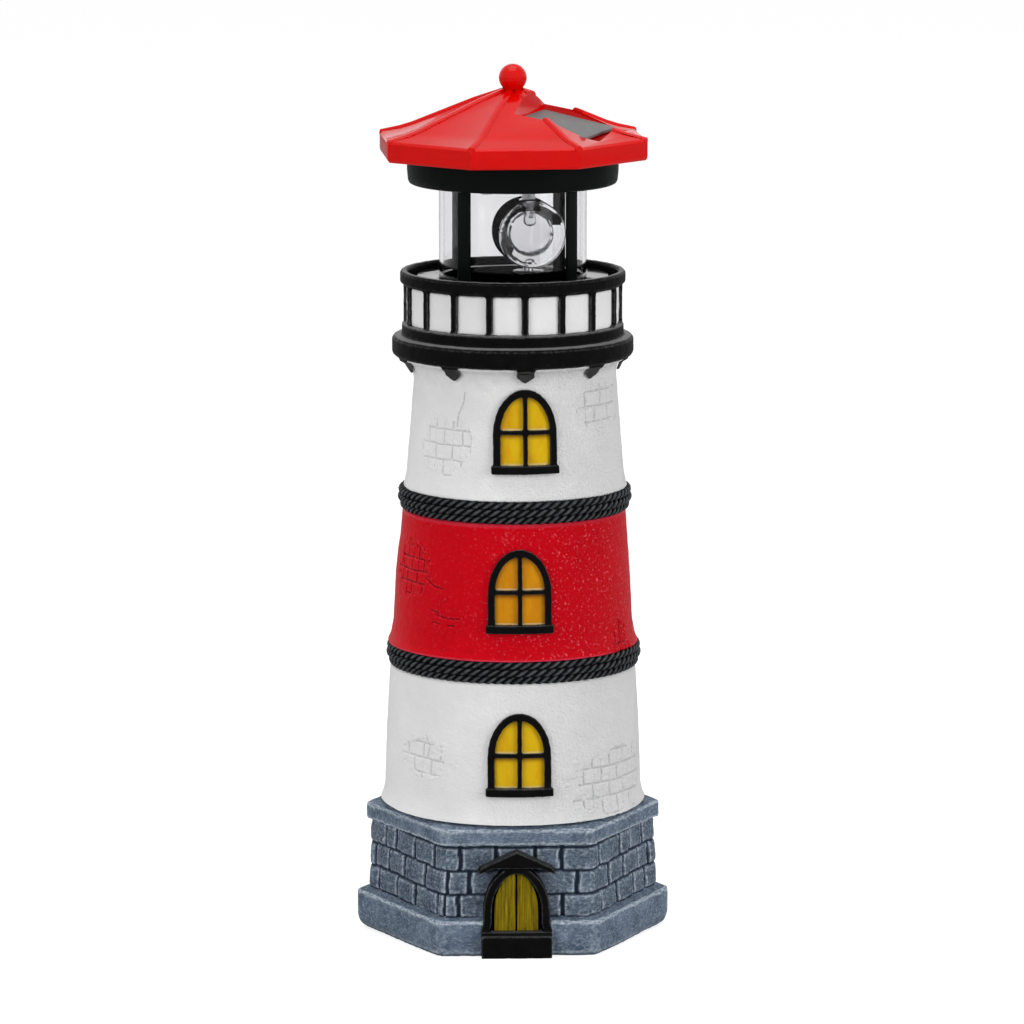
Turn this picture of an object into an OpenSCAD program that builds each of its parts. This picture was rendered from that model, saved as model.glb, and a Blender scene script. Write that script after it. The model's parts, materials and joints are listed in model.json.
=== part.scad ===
// Garden lighthouse ornament: a hollow cast tower with a lift-out solar lantern.
// A small motor in the lantern's foot turns the clear beacon drum through spur gears.
// Millimetres, +Z up, origin on the ground on the tower's axis, the door faces -Y.

/* [Turns] */
// Turn of the lower drum and its window on the plinth
lower_turn = 0.8; // [-5:0.1:5]
// Turn of the middle drum and its window
middle_turn = 1.2; // [-5:0.1:5]
// Turn of the upper drum, its window and the gallery
head_turn = 4.5; // [-8:0.1:8]
// Turn of the lantern as it stands in the gallery
lantern_turn = 3.2; // [-8:0.1:8]
// Turn of the beacon drum at rest
beacon_turn = 8; // [-60:1:60]

/* [Plinth] */
// Corner radius of the footing slab
footing_r = 65.4; // [63:0.1:70]
// Height of the footing slab's edge
footing_h = 16.2; // [13:0.1:18]
// Rise of the footing's top towards the wall
footing_rise = 1.1; // [0.5:0.1:2]
// Corner radius of the stone wall
stone_r = 59.3; // [58.5:0.1:60.5]
// Height of one course of stones
course_h = 9.7; // [8.5:0.1:11]
// Lean of each course inside the one below it
course_step = 0.3; // [0:0.05:0.6]
// Stones along one face of the plinth
stones_per_face = 4; // [3:1:6]
// Width of the joints between stones
joint_w = 1.3; // [0.8:0.1:2]
// Depth of the joints between stones
joint_depth = 1.2; // [0.6:0.1:1.8]
// Corner radius of the cap slab
cap_r = 61.5; // [60.8:0.1:64]
// Height of the cap slab's edge
cap_h = 6.7; // [5:0.1:9]
// Rise of the cap's top towards the tower
cap_rise = 2.4; // [1:0.1:4]
// Rounding of the plinth's six corners
corner_round = 5; // [2:0.5:8]
// Wall thickness of the hollow plinth
plinth_wall = 6; // [4:0.5:7]

/* [Door] */
// Width of the two door leaves together
door_w = 18.9; // [16:0.1:20]
// Height of the door leaves
door_h = 24; // [21:0.5:26]
// Width of the door frame's sides
door_frame_w = 3.3; // [2.5:0.1:4]
// How far the door frame stands out of the stone wall
door_proud = 6.1; // [5.6:0.1:7]
// How deep the leaves lie inside the frame
leaf_inset = 1.5; // [0.8:0.1:2.5]
// Height of the door step
step_h = 9.2; // [7:0.1:11]
// How far the step reaches past the footing
step_reach = 3.3; // [2:0.1:4.5]
// Span of the gabled canopy over the door
canopy_w = 29.7; // [28:0.1:33]
// Rise of the canopy from its eaves to its ridge
canopy_rise = 6.8; // [5:0.1:10]
// Thickness of the canopy boards
canopy_t = 2.6; // [2:0.1:3.5]

/* [Shafts] */
// Radius of the tower's foot on the plinth
foot_r = 53.2; // [52:0.1:53.2]
// Radius of the lower drum above its foot
lower_r = 52.9; // [52:0.1:53.2]
// Radius of the lower drum under its rope
lower_top_r = 50.4; // [49.8:0.1:51]
// Radius of the middle drum's bottom lip
middle_lip_r = 52.4; // [51.5:0.1:52.6]
// Radius of the middle drum above its lip
middle_r = 49.3; // [49:0.1:50]
// Radius of the middle drum under its rope
middle_top_r = 46.2; // [45.5:0.1:46.6]
// Radius of the upper drum's bottom lip
upper_lip_r = 46.9; // [46:0.1:47.4]
// Radius of the upper drum above its lip
upper_r = 44.8; // [44.4:0.1:45.4]
// Radius of the upper drum under its cove
upper_top_r = 41.6; // [41.2:0.1:42.4]
// Height of the underside of the lower rope
lower_rope_z = 112.2; // [108:0.1:114]
// Height of the underside of the upper rope
upper_rope_z = 177.2; // [174:0.1:179]
// Height of the underside of the gallery deck
deck_z = 240.5; // [238:0.1:243]
// Wall thickness at the necks under the ropes
neck_wall = 4.6; // [3.5:0.1:4.8]

/* [Ropes] */
// Diameter of one rope
rope_d = 4.6; // [4.2:0.1:4.8]
// Outer radius of the lower rope band
lower_rope_r = 52.9; // [52.5:0.1:53.4]
// Outer radius of the upper rope band
upper_rope_r = 48.5; // [48.2:0.1:48.9]
// Number of lays round one rope
rope_lays = 60; // [48:1:66]
// Depth of the grooves between the lays
lay_depth = 0.75; // [0.4:0.05:0.9]

/* [Windows] */
// Width of a window frame
window_w = 26; // [23:0.5:28]
// Height of a window frame above its sill
window_h = 31; // [28:0.5:33]
// Width of a window frame's sides
frame_w = 2.9; // [2.2:0.1:3.5]
// Width of the glazing bars
bar_w = 1.8; // [1.4:0.1:2.5]
// Width of a window sill
sill_w = 27.7; // [26.5:0.1:30]
// Height of a window sill
sill_h = 3.3; // [2.5:0.1:4]
// How far the frames stand out of the drums
frame_proud = 1.5; // [1:0.1:2.2]
// How far the sills stand out of the frames
sill_proud = 0.9; // [0.4:0.1:1.5]
// Thickness of the coloured panes
pane_t = 1.8; // [1.2:0.1:2.4]
// Height of the lower window's sill
lower_sill_z = 66.1; // [62:0.1:70]
// Height of the middle window's sill
middle_sill_z = 132.9; // [131:0.1:138]
// Height of the upper window's sill
upper_sill_z = 197.6; // [193:0.1:198]

/* [Gallery] */
// Radius of the gallery deck
deck_r = 49.6; // [48.5:0.1:52]
// How far the deck stands out of the cove under it
deck_overhang = 3.4; // [2.6:0.1:4]
// Thickness of the gallery deck
deck_h = 8.5; // [7:0.1:10]
// Radius of the band at the parapet's foot
band_r = 45.5; // [45:0.1:46.5]
// Height of the band at the parapet's foot
band_h = 4.9; // [4:0.1:6]
// Height of the parapet's openings
panel_h = 16.1; // [14:0.1:18]
// Number of bars round the parapet
bar_count = 18; // [12:1:20]
// Width of a parapet bar
rail_bar_w = 3; // [2.4:0.1:3.6]
// How deep the white panels lie behind the bars
panel_inset = 1.4; // [0.8:0.1:1.8]
// Radius of the parapet's top rim
rim_r = 46.2; // [46:0.1:47.5]
// Height of the parapet's top rim
rim_h = 5.6; // [4.5:0.1:6.5]
// Width of the parapet's top rim
rim_w = 3.2; // [2.6:0.1:4]
// Number of corbels under the deck
corbel_count = 9; // [6:1:12]
// Width of a corbel
corbel_w = 7.5; // [6:0.1:9]
// Height of a corbel
corbel_h = 5.8; // [4:0.1:6.5]
// How far a corbel stands out of the cove
corbel_t = 1.4; // [1:0.1:2]
// Radius of the bore that takes the lantern's foot
bore_r = 37.4; // [37:0.1:38]

/* [Lantern] */
// Radius of the lantern's flange
flange_r = 39.6; // [39:0.1:41]
// Thickness of the lantern's flange
flange_t = 2.7; // [2.2:0.1:3.4]
// Depth of the lantern's foot below its flange
foot_depth = 40.2; // [39:0.1:42]
// Wall thickness of the lantern's foot
foot_wall = 2; // [1.6:0.1:2.4]
// Height of the clear tube
tube_h = 37.9; // [36:0.1:42]
// Outer radius of the clear tube
tube_r = 30.2; // [29.5:0.1:30.6]
// Wall thickness of the clear tube
tube_wall = 1.4; // [1:0.1:2]
// Width of a lantern post
post_w = 6; // [5:0.1:7]
// Thickness of a lantern post
post_t = 1.5; // [1.2:0.1:2.2]
// Radius of the collar at its rim
collar_r = 43.3; // [42.8:0.1:44]
// Height of the visible band of the collar
collar_h = 11; // [10:0.1:13]
// Wall thickness of the collar and its ceiling
collar_wall = 2; // [1.6:0.1:2.4]

/* [Roof] */
// Corner radius of the roof's eaves
eaves_r = 56.1; // [54:0.1:58]
// Height of the roof's upright edge
fascia_h = 8.6; // [7:0.1:10]
// Height of the roof above its upright edge
roof_rise = 18.2; // [17:0.1:19.5]
// Shell thickness of the roof
roof_wall = 2; // [1.6:0.1:2.2]
// Width of a hip rib
rib_w = 3; // [2.4:0.1:3.6]
// How far a hip rib stands up
rib_h = 1.1; // [0.8:0.1:1.6]
// Diameter of the ball on the roof
ball_d = 11.4; // [10:0.1:13]
// Width of the solar panel
panel_w = 41.6; // [38:0.1:42]
// Length of the solar panel down the slope
panel_l = 30; // [28:0.1:31]
// Thickness of the solar panel
panel_t = 1.4; // [1:0.1:1.6]
// Slope of the solar panel
panel_slope = 12.3; // [12:0.1:13]
// Distance of the panel's upper edge from the roof's axis
panel_top = 7.6; // [7.2:0.1:8]

/* [Beacon] */
// Distance of the beacon's axis from the lantern's axis
beacon_off = 6.5; // [5.5:0.1:7]
// Height of the beacon drum's centre above the floor
drum_up = 17.6; // [16.5:0.1:18.5]
// Diameter of the beacon drum
drum_d = 27.8; // [26:0.1:28.5]
// Depth of the beacon drum
drum_l = 18; // [16:0.5:19]
// Diameter of the beacon's lenses
lens_d = 18.8; // [17:0.1:20]
// Diameter of the hole for the lamp in the drum's crown
lamp_hole_d = 8; // [7:0.1:9]
// Diameter of the turntable
turntable_d = 13; // [11:0.5:15]
// Diameter of the beacon's spindle
spindle_d = 2.5; // [2:0.1:3]

/* [Gears] */
// Module of the gears
gear_m = 0.6; // [0.55:0.01:0.62]
// Teeth of the beacon's gear
beacon_teeth = 48; // [40:1:48]
// Teeth of the idler's pinion
idler_pinion_teeth = 12; // [11:1:14]
// Teeth of the idler's wheel
idler_wheel_teeth = 50; // [44:1:50]
// Teeth of the motor's pinion
motor_teeth = 10; // [10:1:13]
// Pressure angle of the gears
pressure_angle = 25; // [22:1:25]
// How much thinner than half the pitch the teeth are
backlash = 0.1; // [0.06:0.01:0.14]
// Face width of the beacon's gear
gear_w = 3.2; // [2.6:0.1:3.6]
// Face width of the idler's wheel
wheel_w = 2.6; // [2:0.1:3]
// Diameter of the idler's pin and the motor's shaft
pin_d = 2; // [1.6:0.1:2.2]

/* [Foot parts] */
// Thickness of the foot's cover and of the gear plate
plate_t = 2; // [1.6:0.1:2.4]
// Diameter of the battery
battery_d = 14.5; // [14.3:0.1:14.6]
// Length of the battery with its button
battery_l = 50.5; // [49:0.1:51]
// Diameter of the motor
motor_d = 20; // [18:0.1:20.5]
// Width of the motor across its flats
motor_flats = 15; // [13:0.1:15.5]
// Length of the motor
motor_l = 21; // [18:0.1:22]
// Travel of the switch
switch_travel = 3; // [2:0.1:4]
// Diameter of the lamp
lamp_d = 5; // [4.5:0.1:5.2]

/* [Hidden] */

// Facets of a small, a middling and a large round
fine = 32;
round_n = 64;
big_n = 96;
// Clearance of pieces that seat on each other, of running shafts and of lift-out pieces
seat = 0.05;
run = 0.04;
lift = 0.2;

// Heights of the tower
stone_z = footing_h + footing_rise;
cap_z = stone_z + 3 * course_h;
tower_z = cap_z + cap_h + cap_rise;
rope_h = 2 * rope_d;
lower_joint_z = lower_rope_z + rope_h / 2;
upper_joint_z = upper_rope_z + rope_h / 2;
middle_lip_z = lower_rope_z + rope_h + seat;
upper_lip_z = upper_rope_z + rope_h + seat;
lower_neck_r = lower_rope_r - rope_d - seat;
upper_neck_r = upper_rope_r - rope_d - seat;
cavity_foot_r = foot_r - plinth_wall;
cavity_lower_r = lower_neck_r - neck_wall;
cavity_upper_r = upper_neck_r - neck_wall;
cove_z = deck_z - 9.5;
cove_r = deck_r - deck_overhang;

// Heights of the gallery and of the lantern
band_z = deck_z + deck_h;
rail_z = band_z + band_h;
rim_z = rail_z + panel_h;
ledge_h = 2;
ledge_z = rim_z + 0.4;
flange_z = ledge_z + lift;
floor_z = flange_z + flange_t;
foot_z = flange_z - foot_depth;
foot_r_out = bore_r - 1.2;
foot_r_in = foot_r_out - foot_wall;
collar_z = floor_z + tube_h;
fascia_z = collar_z + collar_h;
eaves_z = fascia_z + fascia_h;
collar_top_z = fascia_z + 4.6;
peak_z = eaves_z + roof_rise;
ball_rise = 5.3;
ball_z = peak_z + ball_rise;

// The solar panel's bed, measured from the roof's axis down the slope
hip_turn = -22.5;
bed_drop = 8.1;
bed_gap = 0.5;
bed_past = 5.4;
bed_z = peak_z - bed_drop;
bed_start = panel_top - bed_gap;
bed_end = panel_top + panel_l * cos(panel_slope) + bed_past;
bed_half = panel_w / 2 + bed_gap;

// The gear train: places in the lantern's frame and layers under the floor
beacon_at = [beacon_off, 0];
idler_dir = 150;
motor_dir = -80;
beacon_pitch_r = gear_m * beacon_teeth / 2;
idler_far = gear_m * (beacon_teeth + idler_pinion_teeth) / 2;
idler_at = beacon_at + idler_far * [cos(idler_dir), sin(idler_dir)];
motor_far = gear_m * (idler_wheel_teeth + motor_teeth) / 2;
motor_at = idler_at + motor_far * [cos(motor_dir), sin(motor_dir)];
layer_gap = 1;
gear_top_z = flange_z - 1.2;
beacon_gear_z = gear_top_z - gear_w;
wheel_z = beacon_gear_z - layer_gap - wheel_w;
gear_plate_z = wheel_z - layer_gap - plate_t;
motor_z = gear_plate_z - motor_l;
plate_post_r = 30;
gear_plate_r = 19.5;
motor_boss_d = 6;

// The drum of the beacon and the lamp that hangs into it
drum_z = floor_z + drum_up;
turntable_t = 1.6;
turntable_z = floor_z + 0.3;
stem_d = 4.4;
lamp_tip_z = drum_z + 2.4;
lamp_l = 9;
board_z = collar_z + collar_wall + 5;

// The foot's inside
tray_z = foot_z + plate_t;
battery_at = [0, 12.3];
battery_z = tray_z + 0.4 + battery_d / 2;
bay_l = battery_l + 6;
bay_wall = 1.2;
bay_gap = 0.5;
switch_at = [3, -24.5];
switch_size = [13, 6, 5];

// ---- Outlines ----

// A hexagon with rounded corners, one face towards -Y
function rounded_hexagon(corner_r, round_r) = [
  for (k = [0 : 5], s = [-30 : 12 : 30])
    (corner_r - round_r / cos(30)) * [cos(60 * k), sin(60 * k)] + round_r * [cos(60 * k + s), sin(60 * k + s)]
];

// The same hexagon as a ring at a height
function hexagon_ring(corner_r, round_r, z) = [for (p = rounded_hexagon(corner_r, round_r)) [p[0], p[1], z]];

// An octagon with a face towards -Y, as a ring at a height
function octagon_ring(corner_r, z) = [
  for (k = [0 : 7]) [corner_r * cos(22.5 + 45 * k), corner_r * sin(22.5 + 45 * k), z]
];

// A tall round-headed outline that stands on y = 0: upright sides, then half an ellipse
function arch(w, h, spring) = concat(
  [[-w / 2, 0]],
  [for (a = [180 : -12 : 0]) [w / 2 * cos(a), spring + (h - spring) * sin(a)]],
  [[w / 2, 0]]
);

// Moves a profile of [radius, height] points outwards
function grown(profile, by) = [for (p = profile) [p[0] + by, p[1]]];

// A straight drum that swells a little between its two ends
function drum_side(z0, r0, z1, r1, swell, steps) = [
  for (k = [0 : steps]) let (t = k / steps) [r0 + (r1 - r0) * t + 4 * swell * t * (1 - t), z0 + (z1 - z0) * t]
];

// Joins equal rings of points, bottom first, into one closed solid
module loft(rings) {
  n = len(rings[0]);
  m = len(rings);
  polyhedron(
    points = [for (ring = rings, p = ring) p],
    faces = concat(
      [[for (j = [0 : n - 1]) j]],
      [[for (j = [n - 1 : -1 : 0]) (m - 1) * n + j]],
      [for (i = [0 : m - 2], j = [0 : n - 1])
        [i * n + j, (i + 1) * n + j, (i + 1) * n + (j + 1) % n, i * n + (j + 1) % n]]
    ),
    convexity = 6
  );
}

// A round tube
module tube(r_out, r_in, h, n = round_n) {
  difference() {
    cylinder(r = r_out, h = h, $fn = n);
    translate([0, 0, -1]) cylinder(r = r_in, h = h + 2, $fn = n);
  }
}

// A solid turned from an outer profile down to the axis
module turned(profile, n = big_n) {
  rotate_extrude($fn = n)
    polygon(concat([[0, profile[0][1]]], profile, [[0, profile[len(profile) - 1][1]]]));
}

// ---- Plinth and door ----

door_face = stone_r * cos(30) + door_proud;
door_z = step_h + 1.6;
door_spring = door_h * 0.36;
frame_out_w = door_w + 2 * door_frame_w;
frame_out_h = door_z - step_h + door_h + door_frame_w;
canopy_z = door_z + door_h + 1.1;
door_back = stone_r * cos(30) - 2.2;
step_face = footing_r * cos(30) + step_reach;

// Places of the upright joints of one course along one face, measured from the face's middle
function joints(course, face) = let (pitch = stone_r / stones_per_face) [
  for (k = [0 : stones_per_face - 1])
    let (wander = 0.12 * pitch * sin(131 * k + 77 * course + 53 * face))
    (k - (stones_per_face - 1) / 2 + (course % 2 == 0 ? 0 : 0.5)) * pitch + wander
];

module stone_course(course) {
  r = stone_r - course * course_step;
  difference() {
    linear_extrude(course_h + 0.01) polygon(rounded_hexagon(r, corner_round));
    for (face = [0 : 5], x = joints(course, face))
      rotate([0, 0, 60 * face])
        translate([x - joint_w / 2, -r * cos(30) - 1, -1])
          cube([joint_w, joint_depth + 1, course_h + 2]);
    difference() {
      translate([0, 0, -joint_w / 2]) linear_extrude(joint_w) polygon(rounded_hexagon(r + 2, corner_round));
      translate([0, 0, -joint_w]) linear_extrude(2 * joint_w)
        polygon(rounded_hexagon(r - joint_depth / cos(30), corner_round));
    }
  }
}

module door_outline(grow = 0) {
  polygon(arch(frame_out_w + 2 * grow, frame_out_h + grow, door_spring));
}

module plinth() color([0.36, 0.42, 0.5]) {
  difference() {
    union() {
      linear_extrude(2.2) polygon(rounded_hexagon(footing_r - 1.2, corner_round));
      translate([0, 0, 1.2]) linear_extrude(footing_h - 1.2) polygon(rounded_hexagon(footing_r, corner_round));
      loft([
        hexagon_ring(footing_r - 1, corner_round, footing_h - 0.5),
        hexagon_ring(footing_r - 1, corner_round, footing_h),
        hexagon_ring(stone_r - 2, corner_round, stone_z + 0.3)
      ]);
      for (course = [0 : 2]) translate([0, 0, stone_z + course * course_h]) stone_course(course);
      translate([0, 0, cap_z]) linear_extrude(cap_h) polygon(rounded_hexagon(cap_r, corner_round));
      loft([
        hexagon_ring(cap_r - 0.8, corner_round, cap_z + cap_h - 0.5),
        hexagon_ring(cap_r - 0.8, corner_round, cap_z + cap_h),
        hexagon_ring(foot_r + 2.2, foot_r - 12, tower_z)
      ]);
    }
    translate([0, 0, -1])
      linear_extrude(cap_z - 3) polygon(rounded_hexagon(stone_r - plinth_wall / cos(30), corner_round));
    translate([0, 0, cap_z - 5]) cylinder(r = cavity_foot_r, h = 40, $fn = big_n);
    // the pocket that the door's frame stands in
    translate([0, -door_back, step_h]) rotate([90, 0, 0]) linear_extrude(20) door_outline(seat);
    translate([-frame_out_w / 2 - seat, -footing_r, -1])
      cube([frame_out_w + 2 * seat, footing_r - door_back, door_z + 1]);
    translate([0, -door_back, canopy_z]) rotate([90, 0, 0])
      linear_extrude(20) canopy_outline(seat);
  }
}

// The gabled canopy's boards and the gable under them, with the eaves at y = 0
module canopy_outline(grow = 0) {
  w = canopy_w / 2 + grow;
  polygon([
    [-w, -canopy_t / 2 - grow], [-w, canopy_t / 2 + grow], [0, canopy_rise + canopy_t / 2 + grow],
    [w, canopy_t / 2 + grow], [w, -canopy_t / 2 - grow],
    [frame_out_w / 2 - 3, canopy_t / 2], [-frame_out_w / 2 + 3, canopy_t / 2]
  ]);
}

module door_frame() color([0.07, 0.07, 0.08]) {
  depth = door_face - door_back - seat;
  difference() {
    union() {
      translate([0, -door_back - seat, step_h]) rotate([90, 0, 0]) linear_extrude(depth) door_outline();
      translate([0, -door_back - seat, canopy_z]) rotate([90, 0, 0]) linear_extrude(depth + 1) canopy_outline();
      translate([-frame_out_w / 2, -step_face, 0])
        cube([frame_out_w, step_face - door_back - seat, step_h]);
      translate([-frame_out_w / 2, -door_face - 1, step_h - 1])
        cube([frame_out_w, door_face + 1 - door_back - seat, door_z - step_h + 1]);
    }
    translate([0, -door_face + leaf_inset + 1.8, door_z]) rotate([90, 0, 0])
      linear_extrude(20) polygon(arch(door_w, door_h, door_spring));
  }
}

// Two leaves of upright planks, with a groove between planks
module door_leaves() color([0.55, 0.46, 0.02]) {
  gap = 0.9;
  planks = 3;
  plank_w = (door_w - gap) / 2 / planks;
  translate([0, -door_face + leaf_inset + 1.8 - seat, door_z]) rotate([90, 0, 0]) difference() {
    linear_extrude(1.8 - seat) polygon(arch(door_w - 2 * seat, door_h - seat, door_spring));
    translate([-gap / 2, -1, -1]) cube([gap, door_h + 2, 4]);
    for (side = [-1, 1], k = [1 : planks - 1])
      translate([side * (gap / 2 + k * plank_w) - 0.2, -1, 1.3]) cube([0.4, door_h + 2, 2]);
  }
}

// ---- Drums of the tower ----

lower_profile = concat(
  [[foot_r, tower_z], [foot_r, tower_z + 1.4], [foot_r - 0.25, tower_z + 4]],
  drum_side(tower_z + 8, lower_r, lower_rope_z - 1.2, lower_top_r + 0.3, 0.25, 5),
  [[lower_top_r - 0.4, lower_rope_z - seat]]
);
middle_profile = concat(
  [[middle_lip_r - 0.6, middle_lip_z], [middle_lip_r, middle_lip_z + 1]],
  [[middle_lip_r - 0.7, middle_lip_z + 3.4], [middle_r + 0.7, middle_lip_z + 6.2]],
  drum_side(middle_lip_z + 9, middle_r, upper_rope_z - 1.2, middle_top_r + 0.3, 0.2, 4),
  [[middle_top_r - 0.4, upper_rope_z - seat]]
);
upper_profile = concat(
  [[upper_lip_r - 0.6, upper_lip_z], [upper_lip_r, upper_lip_z + 0.9], [upper_lip_r - 1.2, upper_lip_z + 2]],
  drum_side(upper_lip_z + 4, upper_r, cove_z, upper_top_r, 0, 3),
  [for (a = [30 : 30 : 90])
    [cove_r - (cove_r - upper_top_r) * cos(a), cove_z + (deck_z - cove_z) * sin(a) * 0.9]],
  [[cove_r, deck_z - seat]]
);

module drum(profile) {
  difference() {
    turned(profile);
    children();
  }
}

// The pocket behind a window's pane, and the pane itself, follow the drum's curve
module window_shell(profile, low, high) {
  difference() {
    turned(grown(profile, high));
    turned(grown(profile, low));
  }
}

module upright_cut(sill_z, turn) {
  rotate([0, 0, turn]) translate([0, 0, sill_z]) rotate([90, 0, 0]) linear_extrude(80) children();
}

window_black = [0.06, 0.06, 0.07];
opening_w = window_w - 2 * frame_w;
opening_h = window_h - frame_w;
window_spring = window_h * 0.42;
pane_lap = 1;

module pane_outline(grow) {
  translate([0, sill_h])
    polygon(arch(opening_w + 2 * pane_lap + grow, opening_h + pane_lap + grow, window_spring));
}

module window_pocket(profile, sill_z, turn) {
  intersection() {
    difference() {
      turned(grown(profile, 3));
      turned(grown(profile, -pane_t - seat));
    }
    upright_cut(sill_z, turn) pane_outline(2 * seat);
  }
}

module window_pane(profile, sill_z, turn) {
  intersection() {
    window_shell(profile, -pane_t, 0);
    upright_cut(sill_z, turn) pane_outline(0);
  }
}

module window_frame(profile, sill_z, turn) {
  intersection() {
    window_shell(profile, seat, frame_proud);
    upright_cut(sill_z, turn) translate([0, sill_h - 0.5]) difference() {
      polygon(arch(window_w, window_h + 0.5, window_spring));
      difference() {
        translate([0, 0.5]) polygon(arch(opening_w, opening_h, window_spring));
        translate([-bar_w / 2, -1]) square([bar_w, window_h + 2]);
        translate([-window_w / 2, opening_h / 2 - bar_w / 2]) square([window_w, bar_w]);
      }
    }
  }
  intersection() {
    window_shell(profile, seat, frame_proud + sill_proud);
    upright_cut(sill_z, turn) translate([-sill_w / 2, 0]) square([sill_w, sill_h]);
  }
}

// The necks that the ropes are wound on, below and above each joint between two drums
function neck(r, z_low, z_high) = [[r, z_low], [r, z_high]];

module lower_drum() color([0.9, 0.9, 0.9])
  drum(concat(lower_profile, neck(lower_neck_r, lower_rope_z - seat, lower_joint_z - seat))) {
    cavity();
    window_pocket(lower_profile, lower_sill_z, lower_turn);
  }

module middle_drum() color([0.75, 0.02, 0.07])
  drum(concat(
    neck(lower_neck_r, lower_joint_z, middle_lip_z),
    middle_profile,
    neck(upper_neck_r, upper_rope_z - seat, upper_joint_z - seat)
  )) {
    cavity();
    window_pocket(middle_profile, middle_sill_z, middle_turn);
  }

module upper_drum() color([0.9, 0.9, 0.9])
  drum(concat(neck(upper_neck_r, upper_joint_z, upper_lip_z), upper_profile)) {
    cavity();
    window_pocket(upper_profile, upper_sill_z, head_turn);
  }

// The hollow inside the three drums, which narrows to the lantern's bore
module cavity() {
  rotate_extrude($fn = big_n) polygon([
    [0, tower_z - 1], [cavity_foot_r, tower_z - 1], [cavity_foot_r, tower_z], [cavity_lower_r, lower_joint_z],
    [cavity_upper_r, upper_joint_z], [bore_r, cove_z - 6], [bore_r, deck_z + 1], [0, deck_z + 1]
  ]);
}

// ---- Ropes ----

// One rope laid in a ring: its outside has slanting lays, its inside is a plain edge on the neck
module rope(outer_r, low_z) {
  centre_r = outer_r - rope_d / 2;
  sides = [-80, -28, 28, 80, 180];
  n = len(sides);
  rings = 3 * rope_lays;
  function groove(i, a) = lay_depth * (0.5 - 0.5 * cos(120 * i + 3 * a));
  function lay(i, a) = rope_d / 2 - (a == 180 ? seat : groove(i, a));
  polyhedron(
    points = [for (i = [0 : rings - 1], a = sides)
      let (turn = 360 * i / rings, r = centre_r + lay(i, a) * cos(a))
      [r * cos(turn), r * sin(turn), low_z + rope_d / 2 + lay(i, a) * sin(a)]],
    faces = [for (i = [0 : rings - 1], j = [0 : n - 1], half = [0, 1])
      let (i2 = (i + 1) % rings, j2 = (j + 1) % n, a = i * n + j, b = i * n + j2, c = i2 * n + j, d = i2 * n + j2)
      half == 0 ? [a, b, d] : [a, d, c]],
    convexity = 10
  );
}

module rope_band(outer_r, low_z) {
  for (k = [0, 1]) rope(outer_r, low_z + k * rope_d);
}

module lower_rope() color([0.14, 0.15, 0.16]) rope_band(lower_rope_r, lower_rope_z);
module upper_rope() color([0.14, 0.15, 0.16]) rope_band(upper_rope_r, upper_rope_z);

module lower_window_frame() color(window_black) window_frame(lower_profile, lower_sill_z, lower_turn);
module middle_window_frame() color(window_black) window_frame(middle_profile, middle_sill_z, middle_turn);
module upper_window_frame() color(window_black) window_frame(upper_profile, upper_sill_z, head_turn);
module lower_window_pane() color([0.9, 0.75, 0]) window_pane(lower_profile, lower_sill_z, lower_turn);
module middle_window_pane() color([0.85, 0.5, 0.02]) window_pane(middle_profile, middle_sill_z, middle_turn);
module upper_window_pane() color([0.9, 0.75, 0]) window_pane(upper_profile, upper_sill_z, head_turn);

// ---- Gallery ----

// Shield-shaped corbels that lie on the drum's cove and hang from the deck
corbel_line = concat(upper_profile, [[cove_r, deck_z + 0.5]]);

module corbels() {
  w = corbel_w / 2;
  intersection() {
    window_shell(corbel_line, seat, corbel_t);
    for (k = [0 : corbel_count - 1]) rotate([0, 0, 360 * k / corbel_count])
      translate([0, 0, deck_z + 0.4]) rotate([90, 0, 0]) linear_extrude(deck_r)
        polygon([[-w, 0], [-w, -corbel_h * 0.6], [0, -corbel_h], [w, -corbel_h * 0.6], [w, 0]]);
  }
}

module gallery_deck() color([0.08, 0.08, 0.09]) rotate([0, 0, head_turn]) {
  difference() {
    union() {
      turned([
        [deck_r - 2, deck_z], [deck_r - 0.6, deck_z + 0.6], [deck_r, deck_z + 2],
        [deck_r, band_z - 1.2], [deck_r - 1, band_z - 0.2], [deck_r - 2, band_z]
      ]);
      translate([0, 0, band_z - 1]) cylinder(r = band_r, h = band_h + 1, $fn = big_n);
      corbels();
    }
    translate([0, 0, deck_z - corbel_h - 1]) cylinder(r = bore_r, h = rail_z - deck_z + corbel_h + 2, $fn = big_n);
  }
}

module parapet_wall() color([0.88, 0.88, 0.88]) rotate([0, 0, head_turn])
  translate([0, 0, rail_z + seat])
    tube(band_r - 0.6 - panel_inset, bore_r, ledge_z - ledge_h - rail_z - 2 * seat, big_n);

// The black rail: upright bars, the rim on top and the ledge that the lantern's flange rests on
module parapet_rail() color([0.08, 0.08, 0.09]) rotate([0, 0, head_turn]) {
  outer = band_r - 0.6;
  for (k = [0 : bar_count - 1]) rotate([0, 0, 360 * k / bar_count])
    translate([-rail_bar_w / 2, -outer, rail_z + seat])
      cube([rail_bar_w, panel_inset - seat, rim_z - rail_z]);
  difference() {
    translate([0, 0, ledge_z - ledge_h]) cylinder(r = outer - panel_inset + 0.5, h = ledge_h, $fn = big_n);
    translate([0, 0, ledge_z - ledge_h - 1]) cylinder(r = bore_r, h = 20, $fn = big_n);
  }
  rotate_extrude($fn = big_n) polygon([
    [rim_r - rim_w, ledge_z - ledge_h], [outer, ledge_z - ledge_h], [rim_r - 0.5, rim_z], [rim_r, rim_z + 1],
    [rim_r, rim_z + rim_h - 0.8], [rim_r - 0.8, rim_z + rim_h], [rim_r - rim_w + 0.8, rim_z + rim_h],
    [rim_r - rim_w, rim_z + rim_h - 0.8]
  ]);
}

// ---- Lantern housing ----

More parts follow.
